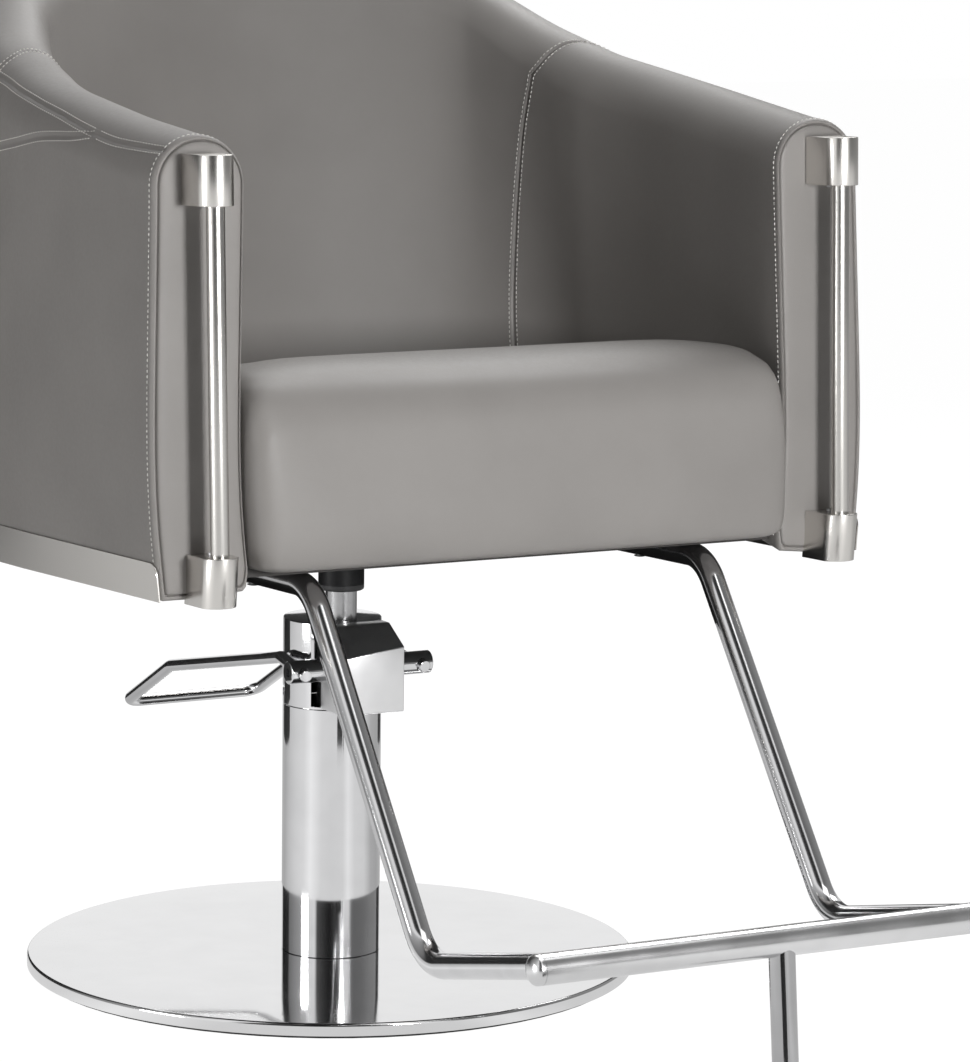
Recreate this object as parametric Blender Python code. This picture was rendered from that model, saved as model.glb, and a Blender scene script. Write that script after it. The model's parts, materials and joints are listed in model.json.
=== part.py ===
"""Hairdressing chair: padded tub seat on a hydraulic column with a round base.

Metres, +Z up. The origin is on the floor on the column's axis, the chair faces -Y,
and -X is the sitter's right. The seat pieces are drawn in a seat frame that leans
back by SEAT_TILT, with its zero height at the foot of the tub.
"""
import math

import bmesh
import bpy
from mathutils import Matrix, Vector

for old in list(bpy.data.objects):
    bpy.data.objects.remove(old, do_unlink=True)

# Clearance between pieces that touch
GAP = 0.0003
# Clearance beside the padded walls
WALL_GAP = 0.0008
# Extra room beside the flat facets of a curved wall
FACET_ROOM = 0.002

# Base disc
BASE_RADIUS = 0.290
BASE_HEIGHT = 0.015
BASE_EDGE = 0.003
COVER_SKIN = 0.0015
PAD_THICK = 0.003
PAD_INSET = 0.006
BASE_BOLT_COUNT = 4
BASE_BOLT_CIRCLE = 0.038
BASE_BOLT_RADIUS = 0.003
BASE_BOLT_HEAD = 0.0055
BASE_BOLT_HEAD_HEIGHT = 0.004
BASE_BOLT_REACH = 0.006

# Hydraulic column
COLUMN_RADIUS = 0.047
COLUMN_WALL = 0.0015
HEAD_TOP_HEIGHT = 0.338
HEAD_LENGTH = 0.083
HEAD_SEAM_HEIGHT = HEAD_TOP_HEIGHT - HEAD_LENGTH
HEAD_PLATE = 0.0025
FLANGE_RADIUS = 0.044
FLANGE_THICK = 0.010
CYLINDER_RADIUS = 0.0225
CYLINDER_BORE = 0.018
CYLINDER_FLOOR = 0.012
GLAND_LENGTH = 0.014
ROD_RADIUS = 0.015
PISTON_FORWARD = 0.018
PISTON_HEAD_LENGTH = 0.020
PISTON_CLEARANCE = 0.0004
PISTON_FLOOR_GAP = 0.0005
SEAL_WIDTH = 0.006
SEAL_DEPTH = 0.003

# Pump block, lever shaft and lever
BLOCK_HALF_WIDTH = 0.0325
BLOCK_FRONT = 0.087
BLOCK_LENGTH = 0.080
BLOCK_SLOPE_DROP = 0.020
BLOCK_BOTTOM_HEIGHT = HEAD_TOP_HEIGHT - BLOCK_LENGTH
BLOCK_SLOPE_HEIGHT = HEAD_TOP_HEIGHT - BLOCK_SLOPE_DROP
BLOCK_TOP_FRONT = 0.056
CUTOUT_MARGIN = 0.0043
CUTOUT_DEPTH = 0.027
SHAFT_RADIUS = 0.011
SHAFT_HALF_LENGTH = 0.071
SHAFT_FORWARD = 0.056
SHAFT_DROP = 0.0403
SHAFT_HEIGHT = HEAD_TOP_HEIGHT - SHAFT_DROP
PLUNGER_RADIUS = 0.006
PLUNGER_LENGTH = 0.020
LEVER_RADIUS = 0.005
LEVER_SHAFT_SPREAD = 0.055
LEVER_SPREAD = 0.072
LEVER_KINK_BACK = 0.025
LEVER_KINK_RISE = 0.012
LEVER_BEND_BACK = 0.267
LEVER_BEND_DROP = 0.0373
LEVER_TIP_BACK = 0.375
LEVER_TIP_DROP = 0.092
LEVER_END_PROUD = 0.005
LEVER_KINK_RADIUS = 0.014
LEVER_BEND_RADIUS = 0.030
LEVER_CORNER_RADIUS = 0.016
SET_SCREW_RADIUS = 0.0035
SET_SCREW_RECESS = 0.003

# Seat frame
SEAT_ABOVE_HEAD = 0.077
SEAT_HEIGHT = HEAD_TOP_HEIGHT + SEAT_ABOVE_HEAD
SEAT_TILT = math.radians(2.2)
COLLAR_RADIUS = 0.0218
ROD_SHOWING = 0.0285
COLLAR_BOTTOM_HEIGHT = HEAD_TOP_HEIGHT + ROD_SHOWING
HUB_SIZE = 0.200
HUB_THICK = 0.006
HUB_BOLT_PITCH = 0.160
BOARD_BOTTOM = 0.0166
BOARD_THICK = 0.018
BOARD_FRONT = 0.355
BOLT_RADIUS = 0.004
BOLT_HEAD_RADIUS = 0.0075
BOLT_HEAD_HEIGHT = 0.005
BOLT_BITE = 0.012

# Tub: arms and back around one centre path
TUB_HALF_WIDTH = 0.3068
TUB_DEPTH = 0.1775
ARM_FRONT = 0.367
FACING_CROWN = 0.014
FACING_INSET = 0.86
ARM_THICK = 0.0817
BACK_THICK = 0.095
RECLINE = math.radians(10.8)
ARM_TOP_FRONT = 0.396
ARM_TOP_REAR = 0.4523
BACK_TOP = 0.585
# Share of the arm's length, share of the rise from its front to its rear
ARM_RISE = ((0.0, 0.0), (0.3, 0.25), (0.5, 0.444), (0.7, 0.634), (0.85, 0.806), (1.0, 1.0))
# Degrees round the back from the arm, share of the rise from the arm's rear to the back's top
BACK_RISE = (
    (0, 0.0), (10, 0.097), (20, 0.198), (30, 0.356), (35, 0.435), (45, 0.585), (60, 0.827), (75, 0.962),
    (90, 1.0))
# Outward lean of the rim along the arm, then round the back
ARM_LEAN = ((0.0, 0.0), (0.3, 0.008), (0.5, 0.008), (0.7, 0.007), (0.85, 0.0), (1.0, -0.012))
BACK_LEAN = (
    (0, -0.012), (10, -0.011), (20, -0.004), (30, 0.005), (35, 0.012), (45, 0.026), (60, 0.014), (75, 0.004),
    (90, 0.0))
SEAM_ANGLE_FOOT = math.radians(30)
SEAM_ANGLE_SWEEP = math.radians(14)
SEAM_CURVE_POWER = 4
FRAME_THICK = 0.016
FRAME_FRONT_INSET = 0.030
FRAME_TOP_INSET = 0.055
FRAME_FOOT = 0.003
BAND_HEIGHT = 0.035
BAND_THICK = 0.0012
BAND_FRONT_INSET = 0.004

# Seat cushion
CUSHION_FRONT = 0.400
CUSHION_BOTTOM = 0.0216
CUSHION_TOP = 0.190
CUSHION_FALL = 0.100
CUSHION_CREST = 0.220
CUSHION_CROWN = 0.004
CUSHION_CORNER = 0.017
CUSHION_SIDE_GAP = 0.001
# Share of the height, inset at the front, inset at the sides
CUSHION_LEVELS = (
    (0.00, 0.012, 0.004), (0.06, 0.004, 0.001), (0.28, 0.000, 0.000), (0.55, 0.002, 0.000),
    (0.74, 0.016, 0.0005), (0.86, 0.034, 0.002), (0.95, 0.072, 0.006), (1.00, 0.120, 0.024))
CUSHION_CROWN_SHARES = (0.65, 0.30)

# Posts on the fronts of the arms
POST_SPREAD = 0.3083
POST_FORWARD = 0.4078
POST_RADIUS = 0.008
POST_SOCKET = 0.012
CAP_RADIUS = 0.0157
CAP_HEIGHT = 0.043
TOP_CAP_BOTTOM = 0.3385
CAP_SCREW_RADIUS = 0.003
CAP_SCREW_HEAD = 0.002

# Footrest
FOOT_TUBE_RADIUS = 0.011
FOOT_TUBE_SPREAD = 0.1975
FOOT_TUBE_BACK = 0.040
FOOT_UPPER_BEND_FORWARD = 0.3554
FOOT_LOWER_BEND_FORWARD = 0.5675
FOOT_LOWER_BEND_DROP = 0.2895
FOOT_BEND_RADIUS = 0.050
CROSSBAR_RADIUS = 0.0128
CROSSBAR_HALF_LENGTH = 0.2325
CROSSBAR_FORWARD = 0.8065
CROSSBAR_DROP = 0.2458
END_CAP_LENGTH = 0.010
# Share of the bar's radius, share of the cap's length
END_CAP_DOME = ((0.0, 0.0), (1.0, 0.0), (1.0, 0.35), (0.85, 0.72), (0.5, 0.94), (0.0, 1.0))
LEG_RADIUS = 0.011
LEG_LENGTH = 0.106
LEG_LEAN = math.radians(3.5)
LEG_TIP_LENGTH = 0.034
LEG_TIP_RADIUS = 0.010
FOOT_BOLT_FORWARD = (0.240, 0.090)

# Facets on round pieces
DISC_SIDES = 64
COLUMN_SIDES = 40
ROUND_SIDES = 24
TUBE_SIDES = 14
SMALL_SIDES = 10

SMOOTH_ANGLE = math.radians(35)


def finish(name, rgb, roughness, metallic):
    """A Principled material with one colour, roughness and metallic value."""
    material = bpy.data.materials.new(name)
    material.use_nodes = True
    shader = material.node_tree.nodes["Principled BSDF"]
    shader.inputs["Base Color"].default_value = (*rgb, 1.0)
    shader.inputs["Roughness"].default_value = roughness
    shader.inputs["Metallic"].default_value = metallic
    return material


CHROME = finish("chrome", (0.80, 0.80, 0.81), 0.08, 1.0)
STAINLESS = finish("brushed_stainless", (0.66, 0.64, 0.60), 0.32, 1.0)
STEEL = finish("plain_steel", (0.42, 0.42, 0.43), 0.45, 1.0)
LEATHER = finish("grey_leatherette", (0.27, 0.255, 0.24), 0.48, 0.0)
BLACK = finish("black_steel", (0.02, 0.02, 0.021), 0.40, 0.0)
RUBBER = finish("black_rubber", (0.03, 0.03, 0.03), 0.75, 0.0)
PLYWOOD = finish("plywood", (0.58, 0.43, 0.27), 0.65, 0.0)
POLYMER = finish("seal_polymer", (0.12, 0.12, 0.13), 0.50, 0.0)


def empty(name, location, tilt=0.0):
    """A parent frame, turned about X by tilt."""
    obj = bpy.data.objects.new(name, None)
    obj.location = location
    obj.rotation_euler = (tilt, 0.0, 0.0)
    bpy.context.scene.collection.objects.link(obj)
    return obj


def place(name, mesh, material, parent):
    """Link a mesh as one named piece under its parent frame."""
    mesh.shade_smooth()
    mesh.set_sharp_from_angle(angle=SMOOTH_ANGLE)
    obj = bpy.data.objects.new(name, mesh)
    if material:
        mesh.materials.append(material)
    obj.parent = parent
    bpy.context.scene.collection.objects.link(obj)
    return obj


def mesh_from(name, points, faces):
    """A mesh with its faces turned outward."""
    mesh = bpy.data.meshes.new(name)
    mesh.from_pydata([tuple(point) for point in points], [], faces)
    shape = bmesh.new()
    shape.from_mesh(mesh)
    bmesh.ops.recalc_face_normals(shape, faces=shape.faces)
    shape.to_mesh(mesh)
    shape.free()
    return mesh


def ladder(ring):
    """Close a ring with rungs between its two sides, so that two facing ends match."""
    faces = []
    for j in range((len(ring) - 1) // 2):
        k = len(ring) - 1 - j
        faces.append((ring[j], ring[j + 1], ring[k]))
        if j + 1 < k - 1:
            faces.append((ring[j + 1], ring[k - 1], ring[k]))
    return faces


def loft(name, rings, close=lambda ring: [tuple(ring)]):
    """Skin equal rings with triangles, so that a slot matches what it holds, and close both ends."""
    count = len(rings[0])
    points = [point for ring in rings for point in ring]
    faces = []
    for i in range(len(rings) - 1):
        for j in range(count):
            k = (j + 1) % count
            a, b, c, d = i * count + j, i * count + k, (i + 1) * count + k, (i + 1) * count + j
            faces += [(a, b, c), (a, c, d)]
    faces += close(range(count))
    faces += close(range((len(rings) - 1) * count, len(rings) * count))
    return mesh_from(name, points, faces)


def turned(name, profile, sides):
    """Turn a closed (radius, height) outline about Z. Points at zero radius become poles."""
    points = []
    rows = []
    for radius, height in profile:
        if radius == 0.0:
            rows.append([len(points)] * sides)
            points.append((0.0, 0.0, height))
            continue
        rows.append(list(range(len(points), len(points) + sides)))
        for i in range(sides):
            angle = 2.0 * math.pi * i / sides
            points.append((radius * math.cos(angle), radius * math.sin(angle), height))
    faces = []
    for a, b in zip(rows, rows[1:] + rows[:1]):
        for i in range(sides):
            k = (i + 1) % sides
            corners = list(dict.fromkeys((a[i], a[k], b[k], b[i])))
            if len(corners) > 2:
                faces.append(tuple(corners))
    return mesh_from(name, points, faces)


def bar(name, start, end, radius, sides):
    """A round bar between two points."""
    return loft(name, tube_rings([Vector(start), Vector(end)], radius, sides))


def slab(name, low, high):
    """A box between two corners."""
    (x0, y0, z0), (x1, y1, z1) = low, high
    ring = [(x0, y0), (x1, y0), (x1, y1), (x0, y1)]
    return loft(name, [[Vector((x, y, z)) for x, y in ring] for z in (z0, z1)])


def tube_rings(path, radius, sides):
    """Rings square to a path, carried along it without twist."""
    rings = []
    normal = None
    for i, point in enumerate(path):
        ahead = path[min(i + 1, len(path) - 1)] - point
        behind = point - path[max(i - 1, 0)]
        tangent = (ahead.normalized() + behind.normalized()).normalized()
        if normal is None:
            side = Vector((0.0, 0.0, 1.0)) if abs(tangent.z) < 0.9 else Vector((1.0, 0.0, 0.0))
            normal = tangent.cross(side).normalized()
        normal = (normal - tangent * normal.dot(tangent)).normalized()
        across = tangent.cross(normal)
        turns = [2.0 * math.pi * j / sides for j in range(sides)]
        rings.append([point + (normal * math.cos(t) + across * math.sin(t)) * radius for t in turns])
    return rings


def bent_path(corners, radii, steps):
    """Straight runs through corners, with an arc of the given radius at each inner corner."""
    path = [corners[0]]
    for before, corner, after, radius in zip(corners, corners[1:], corners[2:], radii):
        inward = (before - corner).normalized()
        outward = (after - corner).normalized()
        half = inward.angle(outward) / 2.0
        reach = radius / math.tan(half)
        centre = corner + (inward + outward).normalized() * (radius / math.sin(half))
        start = corner + inward * reach - centre
        end = corner + outward * reach - centre
        turn = start.angle(end)
        for i in range(steps + 1):
            part = turn * i / steps
            spoke = (start * math.sin(turn - part) + end * math.sin(part)) / math.sin(turn)
            path.append(centre + spoke)
    path.append(corners[-1])
    return path


def cut(target, name, mesh):
    """Subtract a hidden cutter from a piece."""
    cutter = place(name, mesh, None, target.parent)
    cutter.hide_render = True
    cutter.display_type = "WIRE"
    modifier = target.modifiers.new(name, "BOOLEAN")
    modifier.operation = "DIFFERENCE"
    modifier.solver = "EXACT"
    modifier.object = cutter


def bolt(name, material, parent, location, axis_up, radius, length, head_radius, head_height):
    """A cap bolt: its head's inner face is at location and its shank points along axis_up."""
    mesh = turned(name, [
        (0.0, -head_height), (head_radius, -head_height), (head_radius, 0.0),
        (radius, 0.0), (radius, length), (0.0, length)], SMALL_SIDES)
    mesh.transform(Vector((0.0, 0.0, 1.0)).rotation_difference(axis_up).to_matrix().to_4x4())
    obj = place(name, mesh, material, parent)
    obj.location = location
    return obj


# Tub surface: u runs from an arm's front (0) to the middle of the back (1)
def tub_angle(u):
    """The angle round the back's half ellipse, zero along the straight arm."""
    return max(0.0, u - ARM_SHARE) / (1.0 - ARM_SHARE) * math.pi / 2.0


ELLIPSE_LENGTH = math.pi / 2.0 * math.sqrt((TUB_HALF_WIDTH ** 2 + TUB_DEPTH ** 2) / 2.0)
ARM_SHARE = ARM_FRONT / (ARM_FRONT + ELLIPSE_LENGTH)


def tub_thick(u):
    """Padded thickness along the tub."""
    return ARM_THICK + (BACK_THICK - ARM_THICK) * math.sin(tub_angle(u)) ** 2


def between(table, place):
    """Read a table of (place, value) pairs at any place."""
    for (start, low), (end, high) in zip(table, table[1:]):
        if place <= end:
            return low + (high - low) * max(0.0, place - start) / (end - start)
    return table[-1][1]


def tub_top(u):
    """Height of the tub's rim above its foot."""
    if u <= ARM_SHARE:
        return ARM_TOP_FRONT + (ARM_TOP_REAR - ARM_TOP_FRONT) * between(ARM_RISE, u / ARM_SHARE)
    return ARM_TOP_REAR + (BACK_TOP - ARM_TOP_REAR) * between(BACK_RISE, math.degrees(tub_angle(u)))


def tub_lean(u, z):
    """How far the tub's wall stands out from its plan at a height."""
    if u <= ARM_SHARE:
        lean = between(ARM_LEAN, u / ARM_SHARE)
    else:
        lean = between(BACK_LEAN, math.degrees(tub_angle(u)))
    return lean * z / ARM_TOP_REAR


def tub_point(side, u, out, z):
    """A point of the tub: side is -1 or 1, out is measured outward from the centre path."""
    angle = tub_angle(u)
    depth = TUB_DEPTH + z * math.tan(RECLINE)
    forward = ARM_FRONT * max(0.0, 1.0 - u / ARM_SHARE)
    outward = Vector((math.cos(angle) / TUB_HALF_WIDTH, math.sin(angle) / depth)).normalized()
    x = TUB_HALF_WIDTH * math.cos(angle) + outward.x * out + tub_lean(u, z)
    y = depth * math.sin(angle) - forward + outward.y * out
    return Vector((side * x, y, z))


def share_at(angle):
    """The u at an angle round the back."""
    return ARM_SHARE + (1.0 - ARM_SHARE) * angle / (math.pi / 2.0)


def seam_share(z):
    """The u of the seam between arm and back, which curves forward near the rim."""
    return share_at(SEAM_ANGLE_FOOT - SEAM_ANGLE_SWEEP * (z / ARM_TOP_REAR) ** SEAM_CURVE_POWER)


SEAM_GAP = GAP / (ARM_FRONT + ELLIPSE_LENGTH)
# Steps of the outlines and bends
RIM_STEPS = 6
WALL_STEPS = 4
ARM_STEPS = 4
SEAM_STEPS = 5
BACK_STEPS = 10
FRONT_STEPS = 5
CORNER_STEPS = 3
SIDE_STEPS = 5
WELL_STEPS = 8
SETTLE_STEPS = 6
STRAIGHT_STEPS = 3
SHELL_STEPS = 12
BOARD_STEPS = 10
CAP_STEPS = 8
BEND_STEPS = 6


def tub_ring(side, share_of):
    """The upright outline of the tub where u is share_of(height), from the outer foot over the rim."""
    top = ARM_TOP_REAR
    for _ in range(SETTLE_STEPS):
        top = tub_top(share_of(top))
    half = tub_thick(share_of(top)) / 2.0
    spring = top - half
    walls = [spring * i / WALL_STEPS for i in range(WALL_STEPS)]
    outline = [(tub_thick(share_of(z)) / 2.0, z) for z in walls]
    for i in range(RIM_STEPS + 1):
        angle = math.pi * i / RIM_STEPS
        outline.append((half * math.cos(angle), spring + half * math.sin(angle)))
    outline += [(-tub_thick(share_of(z)) / 2.0, z) for z in reversed(walls)]
    return [tub_point(side, share_of(z), out, z) for out, z in outline]


def frame_ring(side, u, clearance, foot):
    """A section of the bent board inside the tub, grown by a clearance."""
    half = FRAME_THICK / 2.0 + clearance
    top = tub_top(u) - FRAME_TOP_INSET + clearance
    corners = ((half, foot), (half, top), (-half, top), (-half, foot))
    return [tub_point(side, u, out, z) for out, z in corners]


def round_the_tub(start, steps):
    """(side, u) pairs from one arm's front round the back to the other's."""
    shares = [start + (ARM_SHARE - start) * i / STRAIGHT_STEPS for i in range(STRAIGHT_STEPS)]
    shares += [share_at(math.pi / 2.0 * i / steps) for i in range(steps)]
    return [(-1, u) for u in shares] + [(-1, 1.0)] + [(1, u) for u in reversed(shares)]


def frame_mesh(name, clearance, foot):
    """The bent board, or the slot that holds it."""
    start = (FRAME_FRONT_INSET - clearance) / ARM_FRONT * ARM_SHARE
    stations = round_the_tub(start, SHELL_STEPS)
    return loft(name, [frame_ring(side, u, clearance, foot) for side, u in stations])


def arm_mesh(name, side):
    """One arm, from its crowned front facing to the seam with the back."""
    rings = [tub_ring(side, lambda z, i=i: ARM_SHARE * i / ARM_STEPS) for i in range(ARM_STEPS + 1)]
    for i in range(1, SEAM_STEPS + 1):
        part = i / SEAM_STEPS
        rings.append(tub_ring(side, lambda z: ARM_SHARE + (seam_share(z) - SEAM_GAP - ARM_SHARE) * part))
    middle = sum(rings[0], Vector()) / len(rings[0])
    inset = [middle + (point - middle) * FACING_INSET for point in rings[0]]
    facing = [point - Vector((0.0, FACING_CROWN, 0.0)) for point in inset]
    return loft(name, [facing] + rings, ladder)


def back_mesh(name):
    """The back, between the two seams."""
    rings = []
    for side, order in ((-1, range(0, BACK_STEPS + 1)), (1, range(BACK_STEPS - 1, -1, -1))):
        for i in order:
            part = i / BACK_STEPS
            rings.append(tub_ring(side, lambda z: 1.0 - (1.0 - seam_share(z) - SEAM_GAP) * (1.0 - part)))
    return loft(name, rings, ladder)


def facet_room(u):
    """Extra room round the curved back, none along the straight arms."""
    return FACET_ROOM * math.sin(tub_angle(u)) ** 0.5


def well_point(side, u, z, gap):
    """A point on the inner wall of the tub, a gap inside it."""
    return tub_point(side, u, -tub_thick(u) / 2.0 - gap - facet_room(u), z)


def band_mesh(name):
    """The trim strip round the outside of the tub's foot."""
    rings = []
    stations = round_the_tub(BAND_FRONT_INSET / ARM_FRONT * ARM_SHARE, SHELL_STEPS)
    for side, u in stations:
        inner = tub_thick(u) / 2.0 + WALL_GAP + facet_room(u)
        outer = inner + BAND_THICK
        corners = ((outer, 0.0), (outer, BAND_HEIGHT), (inner, BAND_HEIGHT), (inner, 0.0))
        rings.append([tub_point(side, u, out, z) for out, z in corners])
    return loft(name, rings)


def board_mesh(name):
    """The seat board, which fills the tub's inner outline."""
    start = (ARM_FRONT - BOARD_FRONT) / ARM_FRONT * ARM_SHARE
    rings = []
    for z in (BOARD_BOTTOM, BOARD_BOTTOM + BOARD_THICK):
        rings.append([well_point(side, u, z, WALL_GAP) for side, u in round_the_tub(start, BOARD_STEPS)])
    return loft(name, rings)


def cushion_top(y):
    """Height of the cushion's top before its edges roll over."""
    return CUSHION_TOP - CUSHION_FALL * max(0.0, y + CUSHION_CREST)


def cushion_ring(level, front_inset, side_inset):
    """One outline of the cushion at a share of its height."""
    side_x = TUB_HALF_WIDTH - ARM_THICK / 2.0 - CUSHION_SIDE_GAP - side_inset
    straight_x = side_x - CUSHION_CORNER
    front_y = -CUSHION_FRONT + front_inset
    half = [(straight_x * i / FRONT_STEPS, front_y) for i in range(FRONT_STEPS + 1)]
    for i in range(1, CORNER_STEPS + 1):
        angle = math.pi / 2.0 * i / CORNER_STEPS
        half.append((straight_x + CUSHION_CORNER * math.sin(angle),
                     front_y + CUSHION_CORNER * (1.0 - math.cos(angle))))
    corner_share = max(0.0, ARM_SHARE * (1.0 + half[-1][1] / ARM_FRONT))
    shares = [corner_share + (ARM_SHARE - corner_share) * i / SIDE_STEPS for i in range(1, SIDE_STEPS)]
    shares += [share_at(math.pi / 2.0 * i / WELL_STEPS) for i in range(WELL_STEPS + 1)]
    for share in shares:
        point = well_point(1, share, CUSHION_BOTTOM, CUSHION_SIDE_GAP + side_inset)
        for _ in range(SETTLE_STEPS):
            z = CUSHION_BOTTOM + (cushion_top(point.y) - CUSHION_BOTTOM) * level
            point = well_point(1, share, z, CUSHION_SIDE_GAP + side_inset)
        half.append((point.x, point.y))
    outline = half + [(-x, y) for x, y in reversed(half[1:-1])]
    ring = []
    for x, y in outline:
        z = CUSHION_BOTTOM + (cushion_top(y) - CUSHION_BOTTOM) * level
        ring.append(Vector((x, y, z)))
    return ring


def cushion_mesh(name):
    """The seat cushion: soft front roll, flat sides between the arms, gently crowned top."""
    rings = [cushion_ring(*level) for level in CUSHION_LEVELS]
    edge = rings[-1]
    middle = sum(edge, Vector()) / len(edge)
    for share in CUSHION_CROWN_SHARES:
        ring = []
        for point in edge:
            inner = middle + (point - middle) * share
            height = cushion_top(inner.y) + CUSHION_CROWN * (1.0 - share)
            ring.append(Vector((inner.x, inner.y, height)))
        rings.append(ring)
    return loft(name, rings)


def cap_mesh(name, side, bottom):
    """A post cap: round in front about the post, flat-sided back to the arm's facing."""
    outline = []
    for i in range(CAP_STEPS + 1):
        angle = math.pi + math.pi * i / CAP_STEPS
        outline.append((CAP_RADIUS * math.cos(angle), -POST_FORWARD + CAP_RADIUS * math.sin(angle)))
    back = -(ARM_FRONT + FACING_CROWN) - GAP
    outline += [(CAP_RADIUS, back), (-CAP_RADIUS, back)]
    centre = side * POST_SPREAD
    rings = [[Vector((centre + x, y, z)) for x, y in outline] for z in (bottom, bottom + CAP_HEIGHT)]
    return loft(name, rings)


def build_base(root):
    """Disc, ballast, column and pump head."""
    rim_foot = PAD_THICK + GAP
    inner = BASE_RADIUS - COVER_SKIN
    under = BASE_HEIGHT - COVER_SKIN
    flange_hole = FLANGE_RADIUS + GAP
    pad_radius = BASE_RADIUS - PAD_INSET
    place("base_pad", turned("base_pad", [
        (0.0, 0.0), (pad_radius, 0.0), (pad_radius, PAD_THICK), (0.0, PAD_THICK)],
        DISC_SIDES), RUBBER, root)
    weight_top = under - GAP
    weight = place("base_weight", turned("base_weight", [
        (0.0, rim_foot), (inner - GAP, rim_foot), (inner - GAP, weight_top), (0.0, weight_top)],
        DISC_SIDES), STEEL, root)
    shoulder = BASE_HEIGHT - BASE_EDGE
    corner = [(BASE_RADIUS - BASE_EDGE * (1.0 - math.sin(a)), shoulder + BASE_EDGE * math.cos(a))
              for a in (0.0, math.pi / 6, math.pi / 3, math.pi / 2)]
    place("base_cover", turned("base_cover", [
        (flange_hole, BASE_HEIGHT), *corner, (BASE_RADIUS, rim_foot), (inner, rim_foot), (inner, under),
        (flange_hole, under)], DISC_SIDES), STAINLESS, root)

    flange_top = under + FLANGE_THICK
    flange = place("pump_flange", turned("pump_flange", [
        (0.0, under), (FLANGE_RADIUS, under), (FLANGE_RADIUS, flange_top), (0.0, flange_top)],
        COLUMN_SIDES), STEEL, root)
    lift_line = Vector((0.0, -PISTON_FORWARD, 0.0))
    cylinder_foot = flange_top + GAP
    cylinder_top = HEAD_TOP_HEIGHT - HEAD_PLATE - GAP
    cylinder_floor = cylinder_foot + CYLINDER_FLOOR
    cylinder = place("pump_cylinder", turned("pump_cylinder", [
        (0.0, cylinder_foot), (CYLINDER_RADIUS, cylinder_foot), (CYLINDER_RADIUS, cylinder_top),
        (CYLINDER_BORE, cylinder_top), (CYLINDER_BORE, cylinder_floor), (0.0, cylinder_floor)],
        COLUMN_SIDES), STEEL, root)
    cylinder.location = lift_line
    gland = place("cylinder_gland", turned("cylinder_gland", [
        (ROD_RADIUS + GAP, cylinder_top), (ROD_RADIUS + GAP, cylinder_top - GLAND_LENGTH),
        (CYLINDER_BORE - GAP, cylinder_top - GLAND_LENGTH), (CYLINDER_BORE - GAP, cylinder_top)],
        COLUMN_SIDES), POLYMER, root)
    gland.location = lift_line
    seat = rim_foot + BASE_BOLT_HEAD_HEIGHT + GAP
    shank = under - seat + BASE_BOLT_REACH
    for i in range(BASE_BOLT_COUNT):
        angle = 2.0 * math.pi * (i + 0.5) / BASE_BOLT_COUNT
        spot = Vector((BASE_BOLT_CIRCLE * math.cos(angle), BASE_BOLT_CIRCLE * math.sin(angle), 0.0))
        bolt(f"base_bolt_{i + 1}", STEEL, root, spot + Vector((0, 0, seat)), Vector((0, 0, 1)),
             BASE_BOLT_RADIUS, shank, BASE_BOLT_HEAD, BASE_BOLT_HEAD_HEIGHT)
        hole = BASE_BOLT_RADIUS + GAP
        for target, word, top, radius in (
                (weight, "weight_bore", BASE_HEIGHT, hole),
                (weight, "weight_counterbore", seat + GAP, BASE_BOLT_HEAD + GAP),
                (flange, "flange_bore", seat + shank + GAP, hole)):
            cut(target, f"{word}_{i + 1}", bar(word, spot, spot + Vector((0, 0, top)), radius, SMALL_SIDES))

    wall = COLUMN_RADIUS - COLUMN_WALL
    foot = BASE_HEIGHT + GAP
    place("column_tube", turned("column_tube", [
        (COLUMN_RADIUS, HEAD_SEAM_HEIGHT), (COLUMN_RADIUS, foot), (wall, foot), (wall, HEAD_SEAM_HEIGHT)],
        COLUMN_SIDES), CHROME, root)
    plate_under = HEAD_TOP_HEIGHT - HEAD_PLATE
    head_foot = HEAD_SEAM_HEIGHT + GAP
    head = place("pump_head_cover", turned("pump_head_cover", [
        (0.0, HEAD_TOP_HEIGHT), (COLUMN_RADIUS, HEAD_TOP_HEIGHT), (COLUMN_RADIUS, head_foot),
        (wall, head_foot), (wall, plate_under), (0.0, plate_under)], COLUMN_SIDES), CHROME, root)
    cut(head, "rod_passage", bar("rod_passage", lift_line + Vector((0, 0, plate_under - GAP)),
        lift_line + Vector((0, 0, HEAD_TOP_HEIGHT + GAP)), ROD_RADIUS + GAP, COLUMN_SIDES))
    cutout = BLOCK_HALF_WIDTH + CUTOUT_MARGIN
    cut(head, "head_cutout", slab("head_cutout", (-cutout, -BLOCK_FRONT, BLOCK_BOTTOM_HEIGHT - GAP),
        (cutout, -CUTOUT_DEPTH, plate_under)))
    beside = BLOCK_HALF_WIDTH + GAP
    cut(head, "plate_cutout", slab("plate_cutout", (-beside, -BLOCK_FRONT, plate_under - GAP),
        (beside, -PISTON_FORWARD - CYLINDER_RADIUS, HEAD_TOP_HEIGHT + HEAD_PLATE)))


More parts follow.
